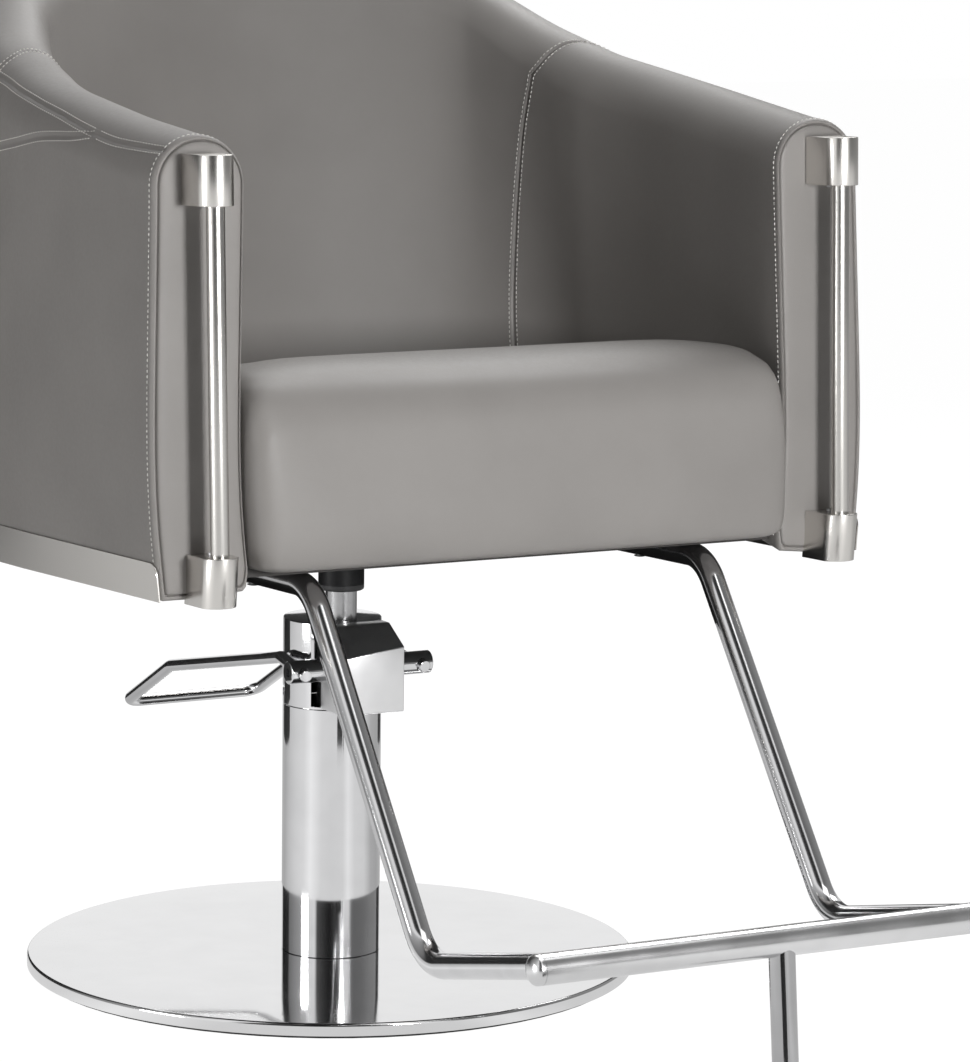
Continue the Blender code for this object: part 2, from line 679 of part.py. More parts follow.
def build_block(root):
    """The block that carries the lever shaft, with its plunger bore."""
    back = -PISTON_FORWARD - CYLINDER_RADIUS - GAP
    outline = [(-BLOCK_FRONT, BLOCK_BOTTOM_HEIGHT), (-BLOCK_FRONT, BLOCK_SLOPE_HEIGHT),
               (-BLOCK_TOP_FRONT, HEAD_TOP_HEIGHT), (back, HEAD_TOP_HEIGHT), (back, BLOCK_BOTTOM_HEIGHT)]
    rings = [[Vector((x, y, z)) for y, z in outline] for x in (-BLOCK_HALF_WIDTH, BLOCK_HALF_WIDTH)]
    block = place("pump_block", loft("pump_block", rings), CHROME, root)
    reach = BLOCK_HALF_WIDTH + GAP
    axis = Vector((0.0, -SHAFT_FORWARD, SHAFT_HEIGHT))
    cut(block, "shaft_bore", bar("shaft_bore", axis - Vector((reach, 0, 0)), axis + Vector((reach, 0, 0)),
        SHAFT_RADIUS + GAP, ROUND_SIDES))
    bore_foot = Vector((0.0, -SHAFT_FORWARD, BLOCK_BOTTOM_HEIGHT - GAP))
    cut(block, "plunger_bore", bar("plunger_bore", bore_foot, axis, PLUNGER_RADIUS + GAP, ROUND_SIDES))
    plunger_top = -SHAFT_RADIUS - GAP
    plunger_frame = empty("plunger_axis", axis)
    place("pump_plunger", turned("pump_plunger", [
        (0.0, plunger_top - PLUNGER_LENGTH), (PLUNGER_RADIUS, plunger_top - PLUNGER_LENGTH),
        (PLUNGER_RADIUS, plunger_top), (0.0, plunger_top)], ROUND_SIDES), STEEL, plunger_frame)


def lever_corners(side):
    """Corner points of one half of the lever, from its end in the shaft to its tip."""
    hole = Vector((side * LEVER_SHAFT_SPREAD, 0.0, 0.0))
    kink = Vector((side * LEVER_SPREAD, LEVER_KINK_BACK, LEVER_KINK_RISE))
    bend = Vector((side * LEVER_SPREAD, LEVER_BEND_BACK, -LEVER_BEND_DROP))
    tip = Vector((side * LEVER_SPREAD, LEVER_TIP_BACK, -LEVER_TIP_DROP))
    end = hole - (kink - hole).normalized() * (SHAFT_RADIUS + LEVER_END_PROUD)
    return [end, kink, bend, tip]


def build_lever():
    """Shaft, U-shaped lever and the screws that hold it, about the shaft's axis."""
    frame = empty("lever_axis", (0.0, -SHAFT_FORWARD, SHAFT_HEIGHT))
    shaft = place("lever_shaft", bar("lever_shaft", (-SHAFT_HALF_LENGTH, 0, 0), (SHAFT_HALF_LENGTH, 0, 0),
        SHAFT_RADIUS, ROUND_SIDES), CHROME, frame)
    right, left = lever_corners(-1), lever_corners(1)
    corners = right + left[::-1]
    half_radii = (LEVER_KINK_RADIUS, LEVER_BEND_RADIUS, LEVER_CORNER_RADIUS)
    radii = half_radii + half_radii[::-1]
    path = bent_path(corners, radii, BEND_STEPS)
    place("pump_lever", loft("pump_lever", tube_rings(path, LEVER_RADIUS, TUBE_SIDES)), CHROME, frame)
    lean = (LEVER_SPREAD - LEVER_SHAFT_SPREAD) / math.hypot(LEVER_KINK_BACK, LEVER_KINK_RISE)
    screw_room = LEVER_RADIUS * math.hypot(1.0, lean) + SET_SCREW_RADIUS * lean + GAP
    hole_reach = 2.0 * SHAFT_RADIUS + LEVER_END_PROUD
    for word, side, (end, kink, *_) in (("right", -1, right), ("left", 1, left)):
        along = (kink - end).normalized()
        middle = Vector((side * LEVER_SHAFT_SPREAD, 0.0, 0.0))
        cut(shaft, f"lever_hole_{word}", bar("lever_hole", middle - along * hole_reach,
            middle + along * hole_reach, LEVER_RADIUS + GAP, TUBE_SIDES))
        inner = LEVER_SHAFT_SPREAD + screw_room
        outer = SHAFT_HALF_LENGTH - SET_SCREW_RECESS
        place(f"lever_set_screw_{word}", bar("lever_set_screw", (side * inner, 0, 0), (side * outer, 0, 0),
            SET_SCREW_RADIUS, SMALL_SIDES), BLACK, frame)
        cut(shaft, f"set_screw_hole_{word}", bar("set_screw_hole", (side * LEVER_SHAFT_SPREAD, 0, 0),
            (side * (SHAFT_HALF_LENGTH + SHAFT_RADIUS), 0, 0), SET_SCREW_RADIUS + GAP, SMALL_SIDES))


def build_lift():
    """Piston head and seal, in the cylinder's bore. Returns the height of the head's top."""
    frame = empty("lift_axis", (0.0, -PISTON_FORWARD, 0.0))
    foot = BASE_HEIGHT - COVER_SKIN + FLANGE_THICK + GAP + CYLINDER_FLOOR + PISTON_FLOOR_GAP
    top = foot + PISTON_HEAD_LENGTH
    radius = CYLINDER_BORE - PISTON_CLEARANCE
    groove = radius - SEAL_DEPTH
    seal_foot = (foot + top - SEAL_WIDTH) / 2.0
    seal_top = seal_foot + SEAL_WIDTH
    place("piston_head", turned("piston_head", [
        (0.0, foot), (radius, foot), (radius, seal_foot - GAP), (groove, seal_foot - GAP),
        (groove, seal_top + GAP), (radius, seal_top + GAP), (radius, top), (0.0, top)],
        COLUMN_SIDES), STEEL, frame)
    place("piston_seal", turned("piston_seal", [
        (groove + GAP, seal_foot), (radius, seal_foot), (radius, seal_top), (groove + GAP, seal_top)],
        COLUMN_SIDES), RUBBER, frame)
    return top


def build_hub(seat, piston_top):
    """Piston rod, collar and the plate under the seat board."""
    frame = empty("swivel_axis", (0.0, -PISTON_FORWARD, 0.0))
    plate_under = BOARD_BOTTOM - GAP - HUB_THICK
    under_height = SEAT_HEIGHT + PISTON_FORWARD * math.sin(SEAT_TILT) + plate_under * math.cos(SEAT_TILT)
    collar_top = under_height - COLLAR_RADIUS * math.sin(SEAT_TILT) - GAP
    rod_foot = piston_top + GAP
    place("piston_rod", turned("piston_rod", [
        (0.0, rod_foot), (ROD_RADIUS, rod_foot), (ROD_RADIUS, collar_top), (0.0, collar_top)],
        COLUMN_SIDES), CHROME, frame)
    place("swivel_collar", turned("swivel_collar", [
        (ROD_RADIUS + GAP, collar_top), (ROD_RADIUS + GAP, COLLAR_BOTTOM_HEIGHT),
        (COLLAR_RADIUS, COLLAR_BOTTOM_HEIGHT), (COLLAR_RADIUS, collar_top)], COLUMN_SIDES), BLACK, frame)
    half = HUB_SIZE / 2.0
    plate = place("hub_plate", slab("hub_plate", (-half, -PISTON_FORWARD - half, plate_under),
        (half, -PISTON_FORWARD + half, plate_under + HUB_THICK)), BLACK, seat)
    board = place("seat_board", board_mesh("seat_board"), PLYWOOD, seat)
    half_pitch = HUB_BOLT_PITCH / 2.0
    spots = [(x, y) for x in (-half_pitch, half_pitch) for y in (-half_pitch, half_pitch)]
    for i, (x, off) in enumerate(spots):
        y = off - PISTON_FORWARD
        head_face = plate_under - GAP
        length = HUB_THICK + 2.0 * GAP + BOLT_BITE
        bolt(f"hub_bolt_{i + 1}", STEEL, seat, (x, y, head_face), Vector((0, 0, 1)),
             BOLT_RADIUS, length, BOLT_HEAD_RADIUS, BOLT_HEAD_HEIGHT)
        for target, word in ((plate, "plate"), (board, "board")):
            cut(target, f"{word}_hub_hole_{i + 1}", bar("hub_hole", (x, y, head_face - GAP),
                (x, y, head_face + length + GAP), BOLT_RADIUS + GAP, SMALL_SIDES))
    return board


def build_tub(seat):
    """Bent board, padded arms and back, trim band."""
    place("shell_frame", frame_mesh("shell_frame", 0.0, FRAME_FOOT), PLYWOOD, seat)
    for name, mesh in (("right_arm", arm_mesh("right_arm", -1)), ("left_arm", arm_mesh("left_arm", 1)),
                       ("backrest", back_mesh("backrest"))):
        section = place(name, mesh, LEATHER, seat)
        cut(section, f"{name}_slot", frame_mesh("slot", GAP, -FRAME_FOOT))
    place("trim_band", band_mesh("trim_band"), STAINLESS, seat)


def build_cushion(seat):
    """The seat cushion, hollowed underneath for the seat board."""
    cushion = place("seat_cushion", cushion_mesh("seat_cushion"), LEATHER, seat)
    wide = TUB_HALF_WIDTH
    cut(cushion, "board_pocket", slab("board_pocket", (-wide, -BOARD_FRONT - GAP, 0.0),
        (wide, TUB_HALF_WIDTH + TUB_DEPTH, BOARD_BOTTOM + BOARD_THICK + GAP)))


def build_posts(seat):
    """A rod between two caps on the front of each arm."""
    for word, side in (("right", -1), ("left", 1)):
        centre = Vector((side * POST_SPREAD, -POST_FORWARD, 0.0))
        low = CAP_HEIGHT - POST_SOCKET
        high = TOP_CAP_BOTTOM + POST_SOCKET
        place(f"{word}_post_rod", bar("post_rod", centre + Vector((0, 0, low)), centre + Vector((0, 0, high)),
            POST_RADIUS, ROUND_SIDES), STAINLESS, seat)
        screw_y = -(ARM_FRONT + FACING_CROWN + POST_FORWARD - POST_RADIUS) / 2.0
        for level, bottom, mouth, up in (
                ("lower", 0.0, CAP_HEIGHT, -1), ("upper", TOP_CAP_BOTTOM, TOP_CAP_BOTTOM, 1)):
            name = f"{word}_{level}_post_cap"
            cap = place(name, cap_mesh(name, side, bottom), STAINLESS, seat)
            inner = mouth + up * (POST_SOCKET + GAP)
            cut(cap, f"{name}_socket", bar("socket", centre + Vector((0, 0, mouth - up * GAP)),
                centre + Vector((0, 0, inner)), POST_RADIUS + GAP, ROUND_SIDES))
            spot = Vector((centre.x, screw_y, mouth - up * GAP))
            bolt(f"{word}_{level}_cap_screw", STEEL, seat, spot, Vector((0, 0, up)), CAP_SCREW_RADIUS / 2.0,
                 POST_SOCKET / 2.0, CAP_SCREW_RADIUS, CAP_SCREW_HEAD)
            hole_end = spot + Vector((0, 0, up * (POST_SOCKET / 2.0 + GAP)))
            cut(cap, f"{name}_screw_hole", bar("screw_hole", spot - Vector((0, 0, up * GAP)), hole_end,
                CAP_SCREW_RADIUS / 2.0 + GAP, SMALL_SIDES))


def build_footrest(seat, board):
    """Two bent tubes bolted under the board, a crossbar and its leg."""
    run_height = BOARD_BOTTOM - GAP - FOOT_TUBE_RADIUS
    bar_centre = Vector((0.0, -CROSSBAR_FORWARD, -CROSSBAR_DROP))
    reach = CROSSBAR_HALF_LENGTH - END_CAP_LENGTH
    sideways = Vector((1.0, 0.0, 0.0))
    place("footrest_crossbar", bar("footrest_crossbar", bar_centre - sideways * reach,
        bar_centre + sideways * reach, CROSSBAR_RADIUS, ROUND_SIDES), CHROME, seat)

    def bar_cutter():
        over = CROSSBAR_HALF_LENGTH
        return bar("bar_cutter", bar_centre - sideways * over, bar_centre + sideways * over,
                   CROSSBAR_RADIUS + GAP, ROUND_SIDES)

    for word, side in (("right", -1), ("left", 1)):
        x = side * FOOT_TUBE_SPREAD
        corners = [Vector((x, -FOOT_TUBE_BACK, run_height)),
                   Vector((x, -FOOT_UPPER_BEND_FORWARD, run_height)),
                   Vector((x, -FOOT_LOWER_BEND_FORWARD, -FOOT_LOWER_BEND_DROP)),
                   bar_centre + sideways * x]
        path = bent_path(corners, (FOOT_BEND_RADIUS, FOOT_BEND_RADIUS), BEND_STEPS)
        name = f"footrest_tube_{word}"
        tube = place(name, loft(name, tube_rings(path, FOOT_TUBE_RADIUS, TUBE_SIDES)), CHROME, seat)
        cut(tube, f"{name}_saddle", bar_cutter())
        for i, forward in enumerate(FOOT_BOLT_FORWARD):
            head_face = run_height - FOOT_TUBE_RADIUS - GAP
            length = 2.0 * FOOT_TUBE_RADIUS + 2.0 * GAP + BOLT_BITE
            bolt(f"footrest_bolt_{word}_{i + 1}", STEEL, seat, (x, -forward, head_face), Vector((0, 0, 1)),
                 BOLT_RADIUS, length, BOLT_HEAD_RADIUS, BOLT_HEAD_HEIGHT)
            for target, part in ((tube, "tube"), (board, "board")):
                cut(target, f"{part}_foot_hole_{word}_{i + 1}", bar("foot_hole",
                    (x, -forward, head_face - GAP), (x, -forward, head_face + length + GAP),
                    BOLT_RADIUS + GAP, SMALL_SIDES))
        dome = [(CROSSBAR_RADIUS * wide, END_CAP_LENGTH * long) for wide, long in END_CAP_DOME]
        mesh = turned("crossbar_end", dome, ROUND_SIDES)
        mesh.transform(Matrix.Rotation(side * math.pi / 2.0, 4, "Y"))
        end = place(f"crossbar_end_{word}", mesh, CHROME, seat)
        end.location = bar_centre + sideways * side * (reach + GAP)

    down = Vector((0.0, -math.sin(LEG_LEAN), -math.cos(LEG_LEAN)))
    leg_end = bar_centre + down * LEG_LENGTH
    leg = place("footrest_leg", bar("footrest_leg", bar_centre, leg_end, LEG_RADIUS, TUBE_SIDES),
                CHROME, seat)
    cut(leg, "leg_saddle", bar_cutter())
    tip_start = leg_end + down * GAP
    place("leg_tip", bar("leg_tip", tip_start, tip_start + down * LEG_TIP_LENGTH, LEG_TIP_RADIUS, TUBE_SIDES),
          RUBBER, seat)


def main():
    """Build every piece under its own moving frame."""
    root = empty("base_frame", (0.0, 0.0, 0.0))
    seat = empty("seat_frame", (0.0, 0.0, SEAT_HEIGHT), -SEAT_TILT)
    build_base(root)
    build_block(root)
    build_lever()
    board = build_hub(seat, build_lift())
    build_tub(seat)
    build_cushion(seat)
    build_posts(seat)
    build_footrest(seat, board)


main()
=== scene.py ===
"""Looks of the hairdressing chair: padded covers, stitching, polished and brushed metal, studio.

Metres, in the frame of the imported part. Tub pieces are worked out in the seat frame,
which leans back by SEAT_TILT, with its zero height at the foot of the tub.
"""
import json
import math

import bmesh
import bpy
import numpy as np
from mathutils import Matrix, Vector


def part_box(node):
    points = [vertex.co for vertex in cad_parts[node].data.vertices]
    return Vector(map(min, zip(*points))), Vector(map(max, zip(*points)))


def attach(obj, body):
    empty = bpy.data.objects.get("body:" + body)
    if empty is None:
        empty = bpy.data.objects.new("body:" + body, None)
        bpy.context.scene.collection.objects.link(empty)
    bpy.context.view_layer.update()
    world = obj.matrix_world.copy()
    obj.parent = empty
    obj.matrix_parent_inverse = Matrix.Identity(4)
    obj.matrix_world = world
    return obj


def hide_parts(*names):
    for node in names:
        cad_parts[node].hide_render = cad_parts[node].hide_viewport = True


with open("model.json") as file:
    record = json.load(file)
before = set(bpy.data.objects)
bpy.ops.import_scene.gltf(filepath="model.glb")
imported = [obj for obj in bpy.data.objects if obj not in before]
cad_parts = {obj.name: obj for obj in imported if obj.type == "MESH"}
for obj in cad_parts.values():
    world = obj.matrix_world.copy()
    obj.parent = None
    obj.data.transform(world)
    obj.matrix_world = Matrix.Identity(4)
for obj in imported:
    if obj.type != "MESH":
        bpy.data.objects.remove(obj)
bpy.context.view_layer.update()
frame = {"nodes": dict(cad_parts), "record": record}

# Photograph and camera
PHOTO_WIDTH = 970
PHOTO_HEIGHT = 1062
FOCAL_PIXELS = 4795.03
CAMERA_PLACE = (-2.0029, -4.0200, 1.1146)
CAMERA_YAW = math.radians(-28.3205)
CAMERA_PITCH = math.radians(8.7836)
CAMERA_ROLL = math.radians(0.6623)
SENSOR = 36.0

# Shared by many pieces: the sitter's sides, the clearance between fitted pieces, angles of sharp edges
SIDES = (("right", -1), ("left", 1))
QUARTER = math.pi / 2.0
FIT_GAP = 0.0003
SMOOTH_ANGLE = math.radians(35)
COVER_ANGLE = math.radians(50)
SAME_SIDE = 0.6
ROUND_LIMIT = 0.45
END_STEPS = 4

# Seat frame
SEAT_HEIGHT = 0.415
SEAT_TILT = math.radians(2.2)
SEAT_FRAME = Matrix.Translation((0.0, 0.0, SEAT_HEIGHT)) @ Matrix.Rotation(-SEAT_TILT, 4, "X")

# Tub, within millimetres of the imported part's
TUB_HALF_WIDTH = 0.3068
TUB_DEPTH = 0.1775
ARM_FRONT = 0.367
FACING_CROWN = 0.006
ARM_THICK = 0.0845
BACK_THICK = 0.095
RECLINE = math.radians(10.8)
ARM_TOP_FRONT = 0.396
ARM_TOP_REAR = 0.4523
BACK_TOP = 0.585
# Share of the arm's length, share of the rise from its front to its rear
ARM_RISE = ((0.0, 0.0), (0.3, 0.25), (0.5, 0.444), (0.7, 0.634), (0.85, 0.806), (1.0, 1.0))
# Degrees round the back from the arm, share of the rise from the arm's rear to the back's top
BACK_RISE = (
    (0, 0.0), (10, 0.097), (20, 0.198), (30, 0.356), (35, 0.435), (45, 0.585), (60, 0.827), (75, 0.962),
    (90, 1.0))
# Outward lean of the rim along the arm, then round the back
ARM_LEAN = ((0.0, 0.0), (0.3, 0.008), (0.5, 0.008), (0.7, 0.007), (0.85, 0.0), (1.0, -0.012))
BACK_LEAN = (
    (0, -0.012), (10, -0.011), (20, -0.004), (30, 0.005), (35, 0.012), (45, 0.026), (60, 0.014), (75, 0.004),
    (90, 0.0))
FOOT_ROUND = 0.005
FOOT_FLATNESS = 0.3
INNER_FOOT = 0.006
INNER_FOOT_RISE = 0.014
INNER_FOOT_SHARE = 0.16
INNER_CORNER = 0.016
# Height, outward shift of the arms' walls
ARM_SPLAY = (
    (-0.1, -0.008), (0.0, -0.0025), (0.05, 0.003), (0.1, 0.0055), (0.15, 0.0055), (0.36, -0.001),
    (0.7, -0.001))
# Rise of the tub's foot at the arms' fronts, the height over which it fades and the share of the arm
FOOT_LIFT = 0.003
FOOT_LIFT_HEIGHT = 0.06
FOOT_LIFT_SHARE = 0.8
# Reach and count of the readings that even out the rim's tables, then those of the seams and the splay
RIM_BLEND = 0.03
RIM_READINGS = 11
TABLE_BLEND = 0.04
TABLE_READINGS = 7
NORMAL_STEP = 0.0006
ELLIPSE_LENGTH = math.pi / 2.0 * math.sqrt((TUB_HALF_WIDTH ** 2 + TUB_DEPTH ** 2) / 2.0)
ARM_SHARE = ARM_FRONT / (ARM_FRONT + ELLIPSE_LENGTH)
# How much nearer the edge the facing's groove runs on the inner side
INNER_GROOVE = 0.45
# Inset from the side wall, distance forward of the arm's front line, for the front facing
FACING_PROFILE = (
    (0.0004, 0.002), (0.001, 0.0034), (0.0019, 0.0044), (0.003, 0.0049), (0.0038, 0.0047), (0.0043, 0.0038),
    (0.0047, 0.0022), (0.005, 0.0018), (0.0053, 0.0022), (0.0057, 0.0038), (0.0064, 0.0047),
    (0.0078, 0.0052), (0.0105, 0.0056), (0.0145, 0.0058), (0.019, 0.006), (0.026, 0.006), (0.033, 0.006),
    (0.039, 0.006))

# Sewn seams
SEAM_DEPTH = 0.0016
SEAM_WIDTH = 0.0019
STITCH_OFFSETS = (-0.0042, 0.0042)
STITCH_PITCH = 0.0046
STITCH_LENGTH = 0.0033
STITCH_RADIUS = 0.00052
STITCH_SINK = 0.0003
STITCH_STEP = 0.001
STITCH_SIDES = 5
# Share of half the length, share of the radius, height above the cover
STITCH_STATIONS = ((-0.8, 0.7, -0.00005), (-0.3, 1.0, 0.00022), (0.3, 1.0, 0.00022), (0.8, 0.7, -0.00005))
FACING_ROW_BACK = 0.0022
# Share of the arm's length, degrees up the outer rim
SEAM_FRONT = ((0.0, 45.6), (0.107, 40.8), (0.188, 37.2), (0.25, 36.2), (0.319, 38.2))
SEAM_UPPER = (
    (0.319, 38.2), (0.418, 39.2), (0.548, 42.8), (0.733, 45.0), (0.935, 41.5), (1.015, 38.5), (1.2, 36.0),
    (3.0, 36.0))
# Share of the arm's length, length up the outer side from the foot
SEAM_LOWER = (
    (0.319, 0.3974), (0.404, 0.3927), (0.606, 0.3902), (0.77, 0.3828), (0.938, 0.3771), (1.05, 0.375),
    (1.3, 0.3735), (3.0, 0.3735))
# Place round the tub's section, degrees round the back
SEAM_OVER = (
    (1.21, 3.5), (1.4, 5.0), (1.5, 7.0), (1.6, 8.0), (1.74, 9.5), (1.89, 12.0), (2.0, 15.2), (2.108, 19.3),
    (2.182, 21.5), (2.315, 24.7), (2.42, 26.9), (2.547, 29.2), (2.641, 30.1), (3.0, 30.5))
# Where rows of stitches begin and end: along the front seam, past its fork, and over the rim
FRONT_ROW_START = 0.012 * ARM_SHARE
FORK_SHARE = SEAM_FRONT[-1][0] * ARM_SHARE
FORK_ROW_START = 1.06 * FORK_SHARE
OVER_ROW_ENDS = (SEAM_OVER[0][0] + 0.03, 2.72)
OUTER_SEAM_END = 1.8

# Trim band
BAND_HEIGHT = 0.035
BAND_THICK = 0.0012
BAND_GAP = 0.0005
BAND_FRONT_INSET = -0.005
BAND_CORNER = 0.012

# Posts
POST_SPREAD = 0.3083
POST_FORWARD = 0.4078
POST_RADIUS = 0.008
POST_SOCKET = 0.012
POST_EDGE = 0.001
CAP_RADIUS = 0.0157
CAP_HEIGHT = 0.043
TOP_CAP_BOTTOM = 0.3385
CAP_EDGE = 0.0007
CAP_CORNER = 0.0012
CAP_FOOT_BACK = 0.006

# Cushion
CUSHION_FRONT = 0.400
CUSHION_BOTTOM = 0.0216
CUSHION_TOP = 0.1925
CUSHION_FALL = 0.125
CUSHION_CREST = 0.300
CUSHION_CROWN = 0.004
CUSHION_CORNER = 0.017
CUSHION_SIDE_GAP = 0.001
CUSHION_BACK_GAP = 0.002
# Share of the height, inset at the front, inset at the sides
CUSHION_LEVELS = (
    (0.00, 0.003, 0.001), (0.06, 0.000, 0.000), (0.28, 0.000, 0.000), (0.55, 0.000, 0.000),
    (0.74, 0.003, 0.0005), (0.86, 0.010, 0.001), (0.94, 0.024, 0.004), (1.00, 0.052, 0.014))
CUSHION_TOP_SHARES = (0.9, 0.78, 0.65, 0.5, 0.35, 0.2, 0.08)
CUSHION_VOXEL = 0.009
CUSHION_PRESSURE = 4.0
CUSHION_STIFFNESS = 30.0
CUSHION_FRAMES = 20
CUSHION_PINNED = 0.008
CUSHION_CAP = 0.006
CUSHION_SIDE_CAP = 0.0004
CUSHION_EVENING = 14
# How far a normal faces the front, or up, where swelling begins and where it is free
CUSHION_FRONT_FACING = (0.35, 0.85)
CUSHION_TOP_FACING = (0.4, 0.8)

# Base, column and pump
BASE_RADIUS = 0.290
BASE_HEIGHT = 0.015
BASE_EDGE = 0.003
BASE_FOOT = 0.0033
BASE_SHEET = 0.0015
BASE_HOLE_INSET = 0.0027
BASE_RINGS = (0.12, 0.2)
COLUMN_RADIUS = 0.047
COLUMN_WALL = 0.0015
COLUMN_EDGE = 0.0004
HEAD_SEAM_HEIGHT = 0.255
HEAD_TOP_HEIGHT = 0.338
HEAD_THICK = 0.0025
HEAD_ROUND = 0.0014
HEAD_INNER_RING = 0.02
PISTON_FORWARD = 0.018
ROD_RADIUS = 0.015
ROD_HOLE_GAP = 0.0004
CYLINDER_RADIUS = 0.0225
BLOCK_HALF_WIDTH = 0.0325
BLOCK_FRONT = 0.087
BLOCK_BOTTOM_HEIGHT = 0.258
BLOCK_SLOPE_HEIGHT = 0.318
BLOCK_TOP_FRONT = 0.056
BLOCK_SLOPE_SHIFTS = (-0.0065, 0.002)
BLOCK_EDGE = 0.0012
CUTOUT_MARGIN = 0.0043
CUTOUT_DEPTH = 0.027
CUT_PAST = 0.001
SHAFT_RADIUS = 0.011
SHAFT_HALF_LENGTH = 0.074
SHAFT_FORWARD = 0.056
SHAFT_HEIGHT = 0.2977
SHAFT_EDGE = 0.0014
SHAFT_CUT_HALF_LENGTH = 0.05
SET_SCREW_RADIUS = 0.0035
SET_SCREW_CUT_END = 0.085
LEVER_RADIUS = 0.006
LEVER_EDGE = 0.0012
# The lever's hole, kink, bend and tip: sideways, back and up from the middle of the shaft
LEVER_CORNERS = ((0.061, 0.0, 0.0), (0.0557, 0.052, 0.0053), (0.072, 0.267, -0.0373), (0.072, 0.375, -0.092))
LEVER_END_PROUD = 0.005
LEVER_CUT_HALF_LENGTH = 0.027
LEVER_BEND_RADII = (0.014, 0.030, 0.016)
COLLAR_RADIUS = 0.0218
COLLAR_BOTTOM_HEIGHT = 0.3665
COLLAR_EDGE = 0.0025
COLLAR_BORE_EDGE = 0.001

# Footrest
FOOT_TUBE_RADIUS = 0.011
FOOT_TUBE_SPREAD = 0.1975
FOOT_RUN_HEIGHT = 0.0053
# Back and up: the tubes' rear ends, upper bends and lower bends
FOOT_TUBE_CORNERS = ((-0.040, FOOT_RUN_HEIGHT), (-0.3554, FOOT_RUN_HEIGHT), (-0.5675, -0.2895))
FOOT_BEND_RADIUS = 0.050
CROSSBAR_RADIUS = 0.0128
CROSSBAR_HALF_LENGTH = 0.2325
CROSSBAR_FORWARD = 0.8065
CROSSBAR_DROP = 0.2458
END_CAP_LENGTH = 0.010
END_CAP_STRAIGHT = 0.0025
END_CAP_SHARE = 0.98
FOOT_BOLT_FORWARD = (0.240, 0.090)
FOOT_BOLT_RADIUS = 0.004
FOOT_BOLT_HEAD = 0.0062
FOOT_BOLT_PROUD = 0.0016
FOOT_BOLT_BITE = 0.012
LEG_RADIUS = 0.011
LEG_LENGTH = 0.106
LEG_LEAN = math.radians(3.5)
LEG_EDGE = 0.001
LEG_PAST = 0.02
LEG_TIP_LENGTH = 0.034
LEG_TIP_RADIUS = 0.010
LEG_TIP_EDGE = 0.002

# Light of the room on matt surfaces; the floor's tone, how bright it looks and how much of that is its own
AMBIENT = 0.015
FLOOR_SIZE = 12.0
FLOOR_TONE = (0.86, 0.86, 0.86, 1.0)
FLOOR_WHITE = 1.10
FLOOR_GLOW = 0.90
WHITE = (1.0, 1.0, 1.0, 1.0)
# Bearings run clockwise from the rear (+Y) in degrees, each with a brightness
ROOM_BEARINGS = (
    (-180, 0.85), (-176, 0.50), (-171, 0.07), (-150, 0.015), (-135, 0.05), (-122, 0.10), (-116, 0.90),
    (-98, 0.90), (-92, 0.55), (-75, 0.40), (-55, 0.28), (-40, 0.20), (-33, 0.03), (-6, 0.03), (2, 0.60),
    (10, 0.95), (43, 0.95), (51, 0.60), (58, 0.30), (100, 0.25), (126, 0.18), (150, 0.16), (157, 0.22),
    (164, 0.85), (180, 0.85))
# Painted light and shade on the floor by bearing, which only reflections see
FLOOR_BEARINGS = (
    (-180, 0.76), (-153, 0.75), (-131, 0.78), (-106, 1.00), (-88, 0.80), (-63, 0.72), (-40, 0.60),
    (-18, 0.45), (5, 0.50), (26, 0.80), (50, 0.50), (80, 0.42), (104, 0.47), (126, 0.72), (152, 0.76),
    (168, 0.93), (180, 0.76))
# Bearing, distance, width, height and level of each upright card
DARK_CARDS = (
    (-22.0, 1.1, 0.70, 1.6, 0.03), (62.0, 1.1, 0.40, 1.6, 0.05), (-172.0, 1.14, 0.24, 0.19, 0.03))
CARD_ROUGHNESS = 0.8
# A level near-black card under the seat, seen only in reflections: painted shade standing in for the shade
# under the seat
UNDERSIDE_CARD_HEIGHT = 0.372
UNDERSIDE_CARD_LEVEL = 0.02
UNDERSIDE_CARD_POINTS = 41
# Name, place, target, size and power of each lamp
LAMPS = (
    ("front", (0.0, -2.6, 0.9), (0.0, -0.3, 0.62), 0.35, 42.0),
    ("left_side", (-3.9, -0.05, 0.63), (-0.35, -0.1, 0.6), 1.2, 46.0),
    ("rear_top", (0.0, 1.8, 2.8), (0.0, -0.1, 0.6), 2.0, 14.0),
    ("rear_right", (1.6, 1.2, 2.8), (0.0, -0.1, 0.6), 1.6, 46.0),
    ("overhead", (0.5, -0.8, 3.4), (0.0, -0.1, 0.6), 1.8, 16.0))


# Materials
def feed(tree, node, inputs):
    """Give a node its inputs: a socket is linked, any other value is set."""
    for name, value in inputs.items():
        if isinstance(value, bpy.types.NodeSocket):
            tree.links.new(value, node.inputs[name])
        else:
            node.inputs[name].default_value = value
    return node


def add_node(tree, kind, inputs=None):
    return feed(tree, tree.nodes.new(f"ShaderNode{kind}"), inputs or {})


def new_material(name, rgb, rough, metallic=0.0):
    """A node material. Returns it with its tree and its Principled shader."""
    material = bpy.data.materials.new(name)
    material.use_nodes = True
    tree = material.node_tree
    shader = tree.nodes["Principled BSDF"]
    feed(tree, shader, {"Base Color": (*rgb, 1.0), "Roughness": rough, "Metallic": metallic})
    return material, tree, shader


# Part of a noise's range that its readings use
NOISE_LOW = 0.3
NOISE_HIGH = 0.7
EVEN = (1.0, 1.0, 1.0)


def noise(tree, scale, detail, stretch=EVEN):
    """A noise texture on object coordinates. Returns its factor."""
    place = add_node(tree, "TexCoord").outputs["Object"]
    mapping = add_node(tree, "Mapping", {"Scale": stretch, "Vector": place}).outputs["Vector"]
    return add_node(tree, "TexNoise", {"Scale": scale, "Detail": detail, "Vector": mapping}).outputs["Fac"]


